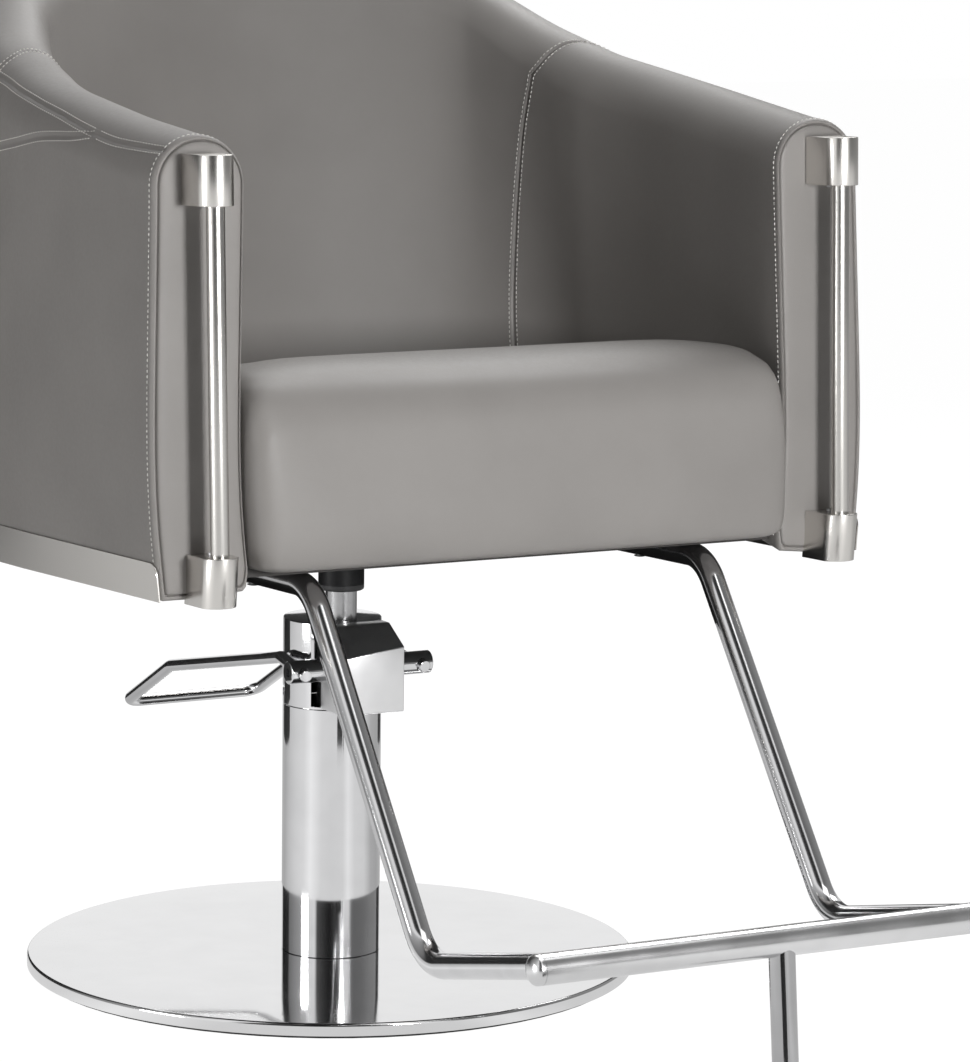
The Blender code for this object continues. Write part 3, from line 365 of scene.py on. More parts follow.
def spread(tree, factor, low, high):
    """Map a noise's middle range onto low to high."""
    node = add_node(tree, "MapRange", {
        "From Min": NOISE_LOW, "From Max": NOISE_HIGH, "To Min": low, "To Max": high, "Value": factor})
    return node.outputs["Result"]


def tint(tree, factor, rgb, tones):
    """Vary a colour between two shares of its brightness."""
    node = add_node(tree, "ValToRGB", {"Fac": factor})
    for element, position, tone in zip(node.color_ramp.elements, (NOISE_LOW, NOISE_HIGH), tones):
        element.position = position
        element.color = (*(channel * tone for channel in rgb), 1.0)
    return node.outputs["Color"]


def finish(name, rgb, rough, metallic, tones, colour, gloss=None, relief=None):
    """A material with tones of one colour over a noise, and roughness and fine relief over others.

    A noise is given by its scale, its detail and its stretch. Gloss is a noise with its lowest and highest
    roughness, and relief a noise with its distance and strength.
    """
    material, tree, shader = new_material(name, rgb, rough, metallic)
    patterns = [pattern for pattern in (colour, gloss and gloss[0], relief and relief[0]) if pattern]
    factors = {pattern: noise(tree, *pattern) for pattern in dict.fromkeys(patterns)}
    feed(tree, shader, {"Base Color": tint(tree, factors[colour], rgb, tones)})
    if gloss:
        feed(tree, shader, {"Roughness": spread(tree, factors[gloss[0]], *gloss[1:])})
    if relief:
        pattern, distance, strength = relief
        node = add_node(tree, "Bump", {
            "Distance": distance, "Strength": strength, "Height": factors[pattern]})
        feed(tree, shader, {"Normal": node.outputs["Normal"]})
    return material


def satin(name, rgb, rough):
    """Chrome with a soft polish."""
    return finish(name, rgb, rough, 1.0, (0.97, 1.03), (40.0, 2.0), ((24.0, 4.0), rough * 0.9, rough * 1.15))


def brushed(name, rgb):
    """Stainless steel with fine level brush lines."""
    lines = (90.0, 3.0, (0.15, 0.15, 90.0))
    return finish(name, rgb, 0.26, 1.0, (0.98, 1.02), lines, (lines, 0.24, 0.27))


def mottled(name, rgb, rough, scale, metallic=0.0, stretch=EVEN, vary=0.12):
    """A plain finish with mottled colour and roughness."""
    spots = (scale, 4.0, stretch)
    return finish(name, rgb, rough, metallic, (1.0 - vary, 1.0 + vary), spots,
                  (spots, rough * 0.85, rough * 1.15), (spots, 0.0003, 0.08))


# Smooth warm grey leatherette with a fine grain
LEATHER = finish("grey_leatherette", (0.262, 0.249, 0.238), 0.46, 0.0, (0.95, 1.05), (9.0, 4.0),
                 ((260.0, 3.0), 0.46, 0.56), ((1500.0, 3.0), 0.0004, 0.10))
LEATHER.node_tree.nodes["Principled BSDF"].inputs["Specular IOR Level"].default_value = 0.35
THREAD = finish("pale_thread", (0.74, 0.72, 0.69), 0.65, 0.0, (0.85, 1.12), (1800.0, 2.0))
# Polished chrome with faint smears, and polished sheet steel, a little softer
CHROME = finish("polished_chrome", (0.80, 0.80, 0.81), 0.05, 1.0, (0.97, 1.03), (30.0, 2.0),
                ((18.0, 4.0), 0.035, 0.085))
POLISHED = finish("polished_sheet", (0.78, 0.78, 0.785), 0.08, 1.0, (0.98, 1.02), (22.0, 2.0),
                  ((12.0, 5.0), 0.05, 0.10))
SATIN = satin("satin_chrome", (0.72, 0.72, 0.73), 0.14)
SOFT_CHROME = satin("soft_chrome", (0.86, 0.86, 0.865), 0.30)
BAR_CHROME = satin("bar_chrome", (0.74, 0.74, 0.745), 0.24)
# The leg: a darker copy of the footrest chrome, its darkness painted shade
LEG_CHROME_PAINTED_SHADE = satin("leg_chrome_painted_shade", (0.50, 0.50, 0.505), 0.12)
STAINLESS = brushed("brushed_stainless", (0.64, 0.625, 0.60))
# Post caps: a lighter copy of the brushed stainless, painted light
CAP_STEEL_PAINTED_LIGHT = brushed("brushed_caps_painted_light", (0.74, 0.72, 0.69))
# Trim band: a lighter copy again of the brushed stainless, painted light
BAND_STEEL_PAINTED_LIGHT = brushed("brushed_band_painted_light", (0.81, 0.785, 0.75))
ROD_STEEL = mottled("ground_steel", (0.46, 0.46, 0.465), 0.18, 120.0, 1.0, vary=0.05)
STEEL = mottled("plain_steel", (0.42, 0.42, 0.43), 0.42, 300.0, 1.0)
BLACK = mottled("satin_black", (0.02, 0.02, 0.021), 0.38, 400.0)
RUBBER = mottled("black_rubber", (0.03, 0.03, 0.03), 0.72, 500.0)
# The plywood seat board: its near-black tone is painted shade, since under the cushion it shows only as
# shadow; the grain mottling is its own
BOARD_PAINTED_SHADE = mottled("board_painted_shade_dark", (0.035, 0.032, 0.03), 0.62, 40.0, 0.0, (0.5, 8.0, 8.0), 0.3)
POLYMER = mottled("seal_polymer", (0.12, 0.12, 0.13), 0.50, 500.0)


# Pieces
def link(name, data):
    """A new object in the scene."""
    obj = bpy.data.objects.new(name, data)
    bpy.context.scene.collection.objects.link(obj)
    return obj


def add_piece(name, mesh, material, body, nodes=(), in_seat=False):
    """Link a mesh as a piece that rides on a body and stands for CAD nodes."""
    if in_seat:
        mesh.transform(SEAT_FRAME)
    mesh.name = name
    mesh.materials.append(material)
    obj = link(name, mesh)
    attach(obj, body)
    if nodes:
        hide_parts(*nodes)
    return obj


def add_seat_piece(name, mesh, material, slot, *nodes):
    """A piece of the seat, whose mesh is in the seat frame."""
    return add_piece(name, mesh, material, "seat", nodes, True)


def raw_mesh(points, faces):
    mesh = bpy.data.meshes.new("mesh")
    mesh.from_pydata([tuple(point) for point in points], [], faces)
    return mesh


def edit(mesh, change):
    """Change a mesh by a function of its bmesh."""
    shape = bmesh.new()
    shape.from_mesh(mesh)
    change(shape)
    shape.to_mesh(mesh)
    shape.free()


def shade(mesh, sharp=SMOOTH_ANGLE):
    mesh.shade_smooth()
    mesh.set_sharp_from_angle(angle=sharp)
    return mesh


def build_mesh(points, faces, sharp=SMOOTH_ANGLE):
    """A smooth-shaded mesh with its faces turned outward."""
    mesh = raw_mesh(points, faces)
    edit(mesh, lambda shape: bmesh.ops.recalc_face_normals(shape, faces=shape.faces))
    return shade(mesh, sharp)


def ring_faces(rings, count, closed_ends=True):
    """Quads between equal closed rings, with faces that close both ends unless told otherwise."""
    faces = []
    for i in range(rings - 1):
        for j in range(count):
            k = (j + 1) % count
            faces.append((i * count + j, i * count + k, (i + 1) * count + k, (i + 1) * count + j))
    if closed_ends:
        faces += [tuple(range(count)), tuple(range((rings - 1) * count, rings * count))]
    return faces


def circle(sides):
    """Cosine and sine of even steps round a circle."""
    turns = [2.0 * math.pi * i / sides for i in range(sides)]
    return [(math.cos(t), math.sin(t)) for t in turns]


def quarter(count, share=1.0):
    """Sine and cosine of even steps through a quarter turn, or a share of it."""
    return [(math.sin(t), math.cos(t)) for t in np.linspace(0.0, QUARTER * share, count)]


def turned(profile, sides):
    """Turn an open (radius, height) outline about Z, with poles where its radius is zero."""
    points = []
    rows = []
    for radius, height in profile:
        if radius == 0.0:
            rows.append([len(points)] * sides)
            points.append((0.0, 0.0, height))
            continue
        rows.append(list(range(len(points), len(points) + sides)))
        points += [(radius * c, radius * s, height) for c, s in circle(sides)]
    faces = []
    for a, b in zip(rows, rows[1:] + rows[:1]):
        for i in range(sides):
            k = (i + 1) % sides
            corners = tuple(dict.fromkeys((a[i], a[k], b[k], b[i])))
            if len(corners) > 2:
                faces.append(corners)
    return build_mesh(points, faces)


def rounded(corners, radius, steps=4):
    """Round the inner corners of an open (radius, height) outline."""
    path = [corners[0]]
    for before, corner, after in zip(corners, corners[1:], corners[2:]):
        a = Vector(before) - Vector(corner)
        b = Vector(after) - Vector(corner)
        reach = min(radius, a.length * ROUND_LIMIT, b.length * ROUND_LIMIT)
        start = Vector(corner) + a.normalized() * reach
        end = Vector(corner) + b.normalized() * reach
        for i in range(steps + 1):
            t = i / steps
            path.append(tuple(start * (1 - t) ** 2 + Vector(corner) * 2 * t * (1 - t) + end * t ** 2))
    return path + [corners[-1]]


def bent_path(corners, radii, steps):
    """Straight runs through corners, with an arc of the given radius at each inner corner."""
    path = [corners[0]]
    for before, corner, after, radius in zip(corners, corners[1:], corners[2:], radii):
        inward = (before - corner).normalized()
        outward = (after - corner).normalized()
        half = inward.angle(outward) / 2.0
        reach = radius / math.tan(half)
        centre = corner + (inward + outward).normalized() * (radius / math.sin(half))
        start = corner + inward * reach - centre
        end = corner + outward * reach - centre
        turn = start.angle(end)
        for i in range(steps + 1):
            part = turn * i / steps
            spoke = (start * math.sin(turn - part) + end * math.sin(part)) / math.sin(turn)
            path.append(centre + spoke)
    return path + [corners[-1]]


def tube_rings(path, radii, sides):
    """Rings square to a path, carried along it without twist."""
    rings = []
    normal = None
    for i, point in enumerate(path):
        ahead = path[min(i + 1, len(path) - 1)] - point
        behind = point - path[max(i - 1, 0)]
        tangent = (ahead.normalized() + behind.normalized()).normalized()
        if normal is None:
            side = Vector((0.0, 0.0, 1.0)) if abs(tangent.z) < 0.9 else Vector((1.0, 0.0, 0.0))
            normal = tangent.cross(side).normalized()
        normal = (normal - tangent * normal.dot(tangent)).normalized()
        across = tangent.cross(normal)
        rings.append([point + (normal * c + across * s) * radii[i] for c, s in circle(sides)])
    return rings


def swept(rings):
    """A closed skin over equal rings."""
    return build_mesh([point for ring in rings for point in ring], ring_faces(len(rings), len(rings[0])))


def soft_end(path, radius, round_off):
    """Extend a path's end stations so that the bar's ends are rounded over. Returns path and radii."""
    first = (path[0] - path[1]).normalized()
    last = (path[-1] - path[-2]).normalized()
    arc = quarter(END_STEPS + 1)
    head = [path[0] - first * round_off * (1.0 - s) for s, _ in reversed(arc)]
    tail = [path[-1] - last * round_off * (1.0 - s) for s, _ in arc]
    small = [radius - round_off * (1.0 - c) for _, c in arc]
    return head + path[1:-1] + tail, small[::-1] + [radius] * (len(path) - 2) + small


def soft_bar(start, end, radius, round_off, sides):
    """A straight bar with rounded ends."""
    return swept(tube_rings(*soft_end([start, start.lerp(end, 0.5), end], radius, round_off), sides))


def baked(obj):
    """The object's evaluated mesh, as a new mesh without materials."""
    mesh = bpy.data.meshes.new_from_object(obj.evaluated_get(bpy.context.evaluated_depsgraph_get()))
    mesh.materials.clear()
    return mesh


def carve(mesh, cutters):
    """Subtract cutter meshes from a mesh and return the result."""
    target = link("carve_target", mesh)
    helpers = [link("carve_cutter", cutter) for cutter in cutters]
    for helper in helpers:
        modifier = target.modifiers.new("cut", "BOOLEAN")
        modifier.operation = "DIFFERENCE"
        modifier.solver = "EXACT"
        modifier.object = helper
    result = baked(target)
    for helper in helpers + [target]:
        bpy.data.objects.remove(helper, do_unlink=True)
    return shade(result)


def box_mesh(low, high):
    """A box between two corners, used as a cutter."""
    (x0, y0, z0), (x1, y1, z1) = low, high
    ring = [(x0, y0), (x1, y0), (x1, y1), (x0, y1)]
    return swept([[Vector((x, y, z)) for x, y in ring] for z in (z0, z1)])


def bar_mesh(start, end, radius, sides):
    """A round bar between two points, used as a cutter."""
    return swept(tube_rings([Vector(start), Vector(end)], [radius, radius], sides))


# Tub surface. v runs from the right arm's front (0) round the back (1) to the left arm's front (2),
# and u from either arm's front (0) to the middle of the back (1).
# q runs up the outer wall (0 to 1), over the rim (1 to 2), down the inner wall (2 to 3), under (3 to 4).
def folded(v):
    """The u of a v."""
    return np.where(v > 1.0, 2.0 - v, v)


def sided(u, side):
    """The v of a u on one side."""
    return u if side < 0 else 2.0 - u


def unit(vectors):
    return vectors / np.linalg.norm(vectors, axis=-1, keepdims=True)


def tub_angle(u):
    return np.clip(u - ARM_SHARE, 0.0, None) / (1.0 - ARM_SHARE) * np.pi / 2.0


def tub_thick(u):
    return ARM_THICK + (BACK_THICK - ARM_THICK) * np.sin(tub_angle(u)) ** 2


def by_table(arm, back, u):
    """Read an arm's table, then the back's, evened out along the tub."""
    total = 0.0
    for shift in np.linspace(-RIM_BLEND, RIM_BLEND, RIM_READINGS):
        place = folded(u + shift)
        along = np.interp(place / ARM_SHARE, *zip(*arm))
        round_back = np.interp(np.degrees(tub_angle(place)), *zip(*back))
        total = total + np.where(place <= ARM_SHARE, along, round_back)
    return total / RIM_READINGS


def evened(points, place):
    """Read a table of (place, value) pairs, evened out over a short stretch."""
    places, values = zip(*points)
    shifts = np.linspace(-TABLE_BLEND, TABLE_BLEND, TABLE_READINGS)
    return sum(np.interp(place + shift, places, values) for shift in shifts) / TABLE_READINGS


ARM_TOPS = [(share, ARM_TOP_FRONT + (ARM_TOP_REAR - ARM_TOP_FRONT) * part) for share, part in ARM_RISE]
BACK_TOPS = [(angle, ARM_TOP_REAR + (BACK_TOP - ARM_TOP_REAR) * part) for angle, part in BACK_RISE]


def tub_spring(u):
    """Height at which the rim's round begins."""
    return by_table(ARM_TOPS, BACK_TOPS, u) - tub_thick(u) / 2.0


def section(u, q):
    """Outward place and height of a point of the tub's outline."""
    half = tub_thick(u) / 2.0
    spring = tub_spring(u)
    turn = (q - 1.0) * np.pi
    under = (q - 3.0) * np.pi + np.pi
    parts = [q < 1.0, q < 2.0, q < 3.0]
    out = np.select(parts, [half, half * np.cos(turn), -half],
                    half * np.sign(np.cos(under)) * np.abs(np.cos(under)) ** FOOT_FLATNESS)
    foot = INNER_FOOT + INNER_FOOT_RISE * np.clip(u / (INNER_FOOT_SHARE * ARM_SHARE), 0.0, 1.0)
    tilt = (foot - FOOT_ROUND) * (half - out) / (2.0 * half)
    heights = [FOOT_ROUND + (spring - FOOT_ROUND) * q, spring + half * np.sin(turn),
               foot + (spring - foot) * (3.0 - q)]
    z = np.select(parts, heights, FOOT_ROUND * (1.0 - np.abs(np.sin(under)) ** FOOT_FLATNESS) + tilt)
    return round_inner_foot(out, z, half, foot)


def round_inner_foot(out, z, half, foot):
    """Round the tub's inner lower corner."""
    beside = np.minimum(out + half - INNER_CORNER, 0.0) / INNER_CORNER
    below = np.minimum(z - foot + FOOT_ROUND - INNER_CORNER, 0.0) / INNER_CORNER
    reach = np.maximum(np.hypot(beside, below), 1.0)
    corner = (beside < 0.0) & (below < 0.0)
    out = np.where(corner, INNER_CORNER - half + beside / reach * INNER_CORNER, out)
    z = np.where(corner, foot - FOOT_ROUND + INNER_CORNER * (1.0 + below / reach), z)
    return out, z


def foot_lift(u, z):
    """How far the tub's foot rises towards the arms' fronts."""
    fade = np.clip(1.0 - z / FOOT_LIFT_HEIGHT, 0.0, 1.0)
    return FOOT_LIFT * fade * np.clip(1.0 - u / (FOOT_LIFT_SHARE * ARM_SHARE), 0.0, 1.0)


def tub_place(v, out, z):
    """A point at an outward distance from the tub's centre path."""
    u = folded(v)
    side = np.where(v > 1.0, 1.0, -1.0)
    angle = tub_angle(u)
    depth = TUB_DEPTH + z * math.tan(RECLINE)
    forward = ARM_FRONT * np.clip(1.0 - u / ARM_SHARE, 0.0, None)
    normal_x = np.cos(angle) / TUB_HALF_WIDTH
    normal_y = np.sin(angle) / depth
    length = np.hypot(normal_x, normal_y)
    lean = by_table(ARM_LEAN, BACK_LEAN, u) * z / ARM_TOP_REAR
    lean = lean + evened(ARM_SPLAY, z) * np.cos(angle) ** 2
    x = TUB_HALF_WIDTH * np.cos(angle) + normal_x / length * out + lean
    y = depth * np.sin(angle) - forward + normal_y / length * out
    return np.stack([side * x, y, z + foot_lift(u, z)], axis=-1)


def tub_base(v, q):
    """The tub's surface without its seams."""
    return tub_place(v, *section(folded(v), q))


def surface_normal(surface, v, q):
    """Outward normal and the length per v of a surface, by small steps."""
    along = surface(v + NORMAL_STEP, q) - surface(v - NORMAL_STEP, q)
    around = surface(v, np.clip(q + NORMAL_STEP, 0.0, 4.0)) - surface(v, np.clip(q - NORMAL_STEP, 0.0, 4.0))
    return unit(np.cross(around, along)), np.linalg.norm(along, axis=-1) / (2.0 * NORMAL_STEP)


def seam_over_share(q):
    """The u of the seam between arm and back, at a place on the rim or the inner wall."""
    return ARM_SHARE + (1.0 - ARM_SHARE) * evened(SEAM_OVER, q) / 90.0


def split_share(q):
    """The u where an arm's cover ends and the back's begins: the same at one height inside and outside."""
    return seam_over_share(np.where(q > 3.0, 3.0, np.maximum(q, 3.0 - q)))


def outline_lengths(u):
    """Length of the outer wall and of the rim's round, each per unit of q."""
    return tub_spring(u) - FOOT_ROUND, np.pi * tub_thick(u) / 2.0


def rise(u, q):
    """Length along the outline above the rim's outer spring line, for outer seams."""
    wall, rim = outline_lengths(u)
    return (q - 1.0) * np.where(q < 1.0, wall, rim)


def rise_to_q(u, height):
    wall, rim = outline_lengths(u)
    return 1.0 + height / np.where(height < 0.0, wall, rim)


def rim_seam(table, u):
    """Rise of a seam that is given in degrees up the rim."""
    return np.radians(evened(table, u / ARM_SHARE)) * tub_thick(u) / 2.0


def lower_seam(u):
    return evened(SEAM_LOWER, u / ARM_SHARE) - tub_spring(u)


def groove(distance):
    return np.exp(-(distance / SEAM_WIDTH) ** 2)


def relief(v, q, length):
    """Depth of the sewn seams at a place on the tub."""
    u = folded(v)
    height = rise(u, q)
    ahead = groove(height - rim_seam(SEAM_FRONT, u)) * (u <= FORK_SHARE)
    behind = np.maximum(groove(height - rim_seam(SEAM_UPPER, u)), groove(height - lower_seam(u)))
    outside = np.maximum(ahead, behind * (u > FORK_SHARE)) * (q < OUTER_SEAM_END)
    over = groove((u - seam_over_share(q)) * length) * (q > SEAM_OVER[0][0]) * (q < 3.0)
    return SEAM_DEPTH * np.maximum(outside, over)


def tub_skin(v, q):
    """The tub's surface with its sewn seams drawn in."""
    normal, length = surface_normal(tub_base, v, q)
    return tub_base(v, q) - normal * relief(v, q, length)[..., None]


def spaced(low, high, count):
    return list(np.linspace(low, high, count, endpoint=False))


# Places round the section, and shares along the arms and the back, closer together where seams run
UPPER_HALF = spaced(0.0, 0.84, 20) + spaced(0.84, 1.0, 26) + spaced(1.0, 1.40, 34) + spaced(1.40, 1.5, 6)
ROWS = np.array(UPPER_HALF + [3.0 - q for q in [1.5] + UPPER_HALF[::-1]] + [3.1, 3.25, 3.5, 3.75, 3.9])
TOP_ROWS = 2 * len(UPPER_HALF) + 1
ARM_COLUMNS = (
    spaced(0.0, 0.04, 6) + spaced(0.04, 0.86, 84) + spaced(0.86, 0.975, 26) + spaced(0.975, 1.0, 9) + [1.0])
BACK_HALF = spaced(0.0, 0.02, 9) + spaced(0.02, 0.12, 16) + spaced(0.12, 1.0, 70)
BACK_COLUMNS = BACK_HALF + [1.0] + [2.0 - t for t in reversed(BACK_HALF)]


def facing_ring(inset, forward, side):
    """One inset outline of the front facing."""
    half = ARM_THICK / 2.0
    out, z = section(np.zeros_like(ROWS), ROWS)
    spring = tub_spring(np.zeros(1))[0]
    share = (half - inset * (1.0 - INNER_GROOVE * np.clip(-out / half, 0.0, 1.0))) / half
    below = spring - (spring - z) * (spring - inset) / spring
    lift = np.where(z < spring, below, spring + (z - spring) * share)
    x = TUB_HALF_WIDTH + out * share + evened(ARM_SPLAY, lift)
    return np.stack([side * x, np.full_like(x, -ARM_FRONT - forward), lift + foot_lift(0.0, lift)], axis=-1)


def close_ladder(start):
    """Faces that close a ring with rungs between its outer and inner sides."""
    ring = list(range(start, start + len(ROWS)))
    top = ring[:TOP_ROWS]
    faces = []
    for j in range(TOP_ROWS // 2):
        a, b, c, d = top[j], top[j + 1], top[TOP_ROWS - 2 - j], top[TOP_ROWS - 1 - j]
        faces.append((a, b, c, d) if b != c else (a, b, d))
    return faces + [(top[0], top[-1], *ring[TOP_ROWS:])]


def cover_mesh(rings, first_normals, last_normals):
    """A closed cover over rings round the section, with given normals on its sewn ends."""
    last = (len(rings) - 1) * len(ROWS)
    faces = ring_faces(len(rings), len(ROWS), closed_ends=False) + close_ladder(0) + close_ladder(last)
    mesh = build_mesh(np.concatenate(rings), faces, COVER_ANGLE)
    for start, normals in ((0, first_normals), (last, last_normals)):
        if normals is not None:
            blend_normals(mesh, start, normals)
    return mesh


def blend_normals(mesh, start, normals):
    """Set the normals of one end ring's outer faces to the surface's own."""
    count = len(ROWS)
    corners = np.empty(len(mesh.loops) * 3, dtype=np.float32)
    mesh.corner_normals.foreach_get("vector", corners)
    corners = corners.reshape(-1, 3)
    index = np.empty(len(mesh.loops), dtype=np.int32)
    mesh.loops.foreach_get("vertex_index", index)
    wanted = normals[np.clip(index - start, 0, count - 1)]
    close = np.einsum("ij,ij->i", corners, wanted) > SAME_SIDE
    use = (index >= start) & (index < start + count) & close
    corners[use] = wanted[use]
    mesh.normals_split_custom_set([tuple(normal) for normal in corners])


def arm_cover(side):
    """An arm's cover, from its crowned facing to the seam with the back."""
    limits = split_share(ROWS)
    facing = [facing_ring(inset, forward, side) for inset, forward in FACING_PROFILE]
    rings = facing[::-1] + [tub_skin(sided(limits * t, side), ROWS) for t in ARM_COLUMNS]
    return cover_mesh(rings, None, surface_normal(tub_skin, sided(limits, side), ROWS)[0])


def back_cover():
    """The back's cover, between its two seams."""
    limits = split_share(ROWS)
    places = [limits + (1.0 - limits) * t for t in BACK_COLUMNS]
    ends = [surface_normal(tub_skin, places[i], ROWS)[0] for i in (0, -1)]
    return cover_mesh([tub_skin(v, ROWS) for v in places], *ends)


# Stitching
def resample(points, normals):
    """Even places along a row, with their directions and normals."""
    gaps = np.linalg.norm(np.diff(points, axis=0), axis=1)
    length = np.concatenate([[0.0], np.cumsum(gaps)])
    stops = np.arange(STITCH_PITCH * 0.5, length[-1] - STITCH_PITCH * 0.4, STITCH_PITCH)

    def at(places, values):
        return np.stack([np.interp(places, length, column) for column in values.T], axis=1)

    direction = at(stops + STITCH_STEP, points) - at(stops - STITCH_STEP, points)
    return at(stops, points), unit(direction), unit(at(stops, normals))


def stitch_mesh(rows):
    """Short rounded stitches along rows of (points, normals)."""
    points = []
    faces = []
    turns = circle(STITCH_SIDES)
    for row in rows:
        for place, along, normal in zip(*resample(*row)):
            across = np.cross(normal, along)
            reach = along * STITCH_LENGTH / 2.0
            base = len(points)
            points.append(place - reach - normal * STITCH_SINK)
            for share, wide, height in STITCH_STATIONS:
                centre = place + reach * share + normal * height
                points += [centre + (across * c + normal * s) * STITCH_RADIUS * wide for c, s in turns]
            end = len(points)
            points.append(place + reach - normal * STITCH_SINK)
            for i in range(STITCH_SIDES):
                k = (i + 1) % STITCH_SIDES
                faces.append((base, base + 1 + k, base + 1 + i))
                for a in range(base + 1, end - STITCH_SIDES, STITCH_SIDES):
                    faces.append((a + i, a + k, a + STITCH_SIDES + k, a + STITCH_SIDES + i))
                faces.append((end - STITCH_SIDES + i, end - STITCH_SIDES + k, end))
    mesh = raw_mesh(points, faces)
    mesh.shade_smooth()
    return mesh


def surface_row(v, q):
    """A row on the tub's surface, with its normals."""
    return tub_skin(v, q), surface_normal(tub_base, v, q)[0]


def arm_rows(side):
    """Rows of stitches on one arm: along its outer seam as far as the fork, and beside the front facing."""
    u = np.linspace(FRONT_ROW_START, FORK_SHARE, 60)
    rows = [surface_row(sided(u, side), rise_to_q(u, rim_seam(SEAM_FRONT, u) + offset))
            for offset in STITCH_OFFSETS]
    edge = np.concatenate([np.linspace(*ends, 60) for ends in ((0.03, 0.99), (1.0, 2.0), (2.01, 2.97))])
    beside = np.full_like(edge, FACING_ROW_BACK / ARM_FRONT * ARM_SHARE)
    return rows + [surface_row(sided(beside, side), edge)]


def tub_rows():
    """Rows of stitches along the seams that run on round the back."""
    rows = []
    for _, side in SIDES:
        u = np.linspace(FORK_ROW_START, 1.0, 160)
        for offset in STITCH_OFFSETS:
            for seam in (rim_seam(SEAM_UPPER, u), lower_seam(u)):
                rows.append(surface_row(sided(u, side), rise_to_q(u, seam + offset)))
        q = np.linspace(*OVER_ROW_ENDS, 160)
        seam = seam_over_share(q)
        length = surface_normal(tub_base, seam, q)[1]
        for offset in STITCH_OFFSETS:
            rows.append(surface_row(sided(seam + offset / length, side), q))
    return rows


# Seat cushion
def cushion_top(y):
    return CUSHION_TOP - CUSHION_FALL * max(0.0, y + CUSHION_CREST)


def cushion_height(y, level):
    return CUSHION_BOTTOM + (cushion_top(y) - CUSHION_BOTTOM) * level


def well_place(u, z, gap):
    """A point of the tub's well, at a gap from its inner wall."""
    share = np.array([u])
    out = -tub_thick(share) / 2.0 - gap - CUSHION_BACK_GAP * np.sin(tub_angle(share)) ** 0.5
    return tub_place(2.0 - share, out, np.array([z]))[0]


def cushion_ring(level, front_inset, side_inset):
    """One outline of the cushion at a share of its height."""
    front_steps, corner_steps, side_steps, well_steps = 16, 6, 14, 18
    gap = CUSHION_SIDE_GAP + side_inset
    splay = evened(ARM_SPLAY, CUSHION_BOTTOM + (CUSHION_TOP - CUSHION_BOTTOM) * level)
    straight_x = TUB_HALF_WIDTH - ARM_THICK / 2.0 + splay - gap - CUSHION_CORNER
    front_y = -CUSHION_FRONT + front_inset
    half = [(straight_x * i / front_steps, front_y) for i in range(front_steps + 1)]
    for s, c in quarter(corner_steps + 1)[1:]:
        half.append((straight_x + CUSHION_CORNER * s, front_y + CUSHION_CORNER * (1.0 - c)))
    corner_share = max(0.0, ARM_SHARE * (1.0 + half[-1][1] / ARM_FRONT))
    shares = [corner_share + (ARM_SHARE - corner_share) * i / side_steps for i in range(1, side_steps)]
    shares += [ARM_SHARE + (1.0 - ARM_SHARE) * i / well_steps for i in range(well_steps + 1)]
    for share in shares:
        point = well_place(share, CUSHION_BOTTOM, gap)
        for _ in range(4):
            point = well_place(share, cushion_height(point[1], level), gap)
        half.append((point[0], point[1]))
    outline = half + [(-x, y) for x, y in reversed(half[1:-1])]
    return [Vector((x, y, cushion_height(y, level))) for x, y in outline]


def cushion_mesh():
    """The cushion's form before it swells."""
    levels, fronts, sides = zip(*CUSHION_LEVELS)
    rings = []
    for level in np.concatenate([np.linspace(0.0, 0.7, 12), np.linspace(0.74, 1.0, 12)]):
        rings.append(cushion_ring(level, np.interp(level, levels, fronts), np.interp(level, levels, sides)))
    edge = rings[-1]
    middle = sum(edge, Vector()) / len(edge)
    for share in CUSHION_TOP_SHARES:
        ring = [middle + (point - middle) * share for point in edge]
        rings.append([Vector((p.x, p.y, cushion_top(p.y) + CUSHION_CROWN * (1.0 - share))) for p in ring])
    return swept(rings)


def relax(mesh, rounds):
    """Even out a mesh's points."""
    def smooth(shape):
        for _ in range(rounds):
            bmesh.ops.smooth_vert(shape, verts=shape.verts, factor=0.5, use_axis_x=True, use_axis_y=True,
                                  use_axis_z=True)
    edit(mesh, smooth)


def vertex_vectors(mesh, kind):
    """A mesh's points (co) or normals (normal), one a row."""
    values = np.empty(len(mesh.vertices) * 3, dtype=np.float32)
    mesh.vertices.foreach_get(kind, values)
    return values.reshape(-1, 3).astype(float)


def spread_out(mesh, shift, rounds):
    """Even out a move of a mesh's points between neighbours."""
    pairs = np.empty(len(mesh.edges) * 2, dtype=np.int32)
    mesh.edges.foreach_get("vertices", pairs)
    a, b = pairs.reshape(-1, 2).T
    count = np.bincount(pairs, minlength=len(shift))[:, None] + 1.0
    for _ in range(rounds):
        total = shift.copy()
        np.add.at(total, a, shift[b])
        np.add.at(total, b, shift[a])
        shift = total / count
    return shift


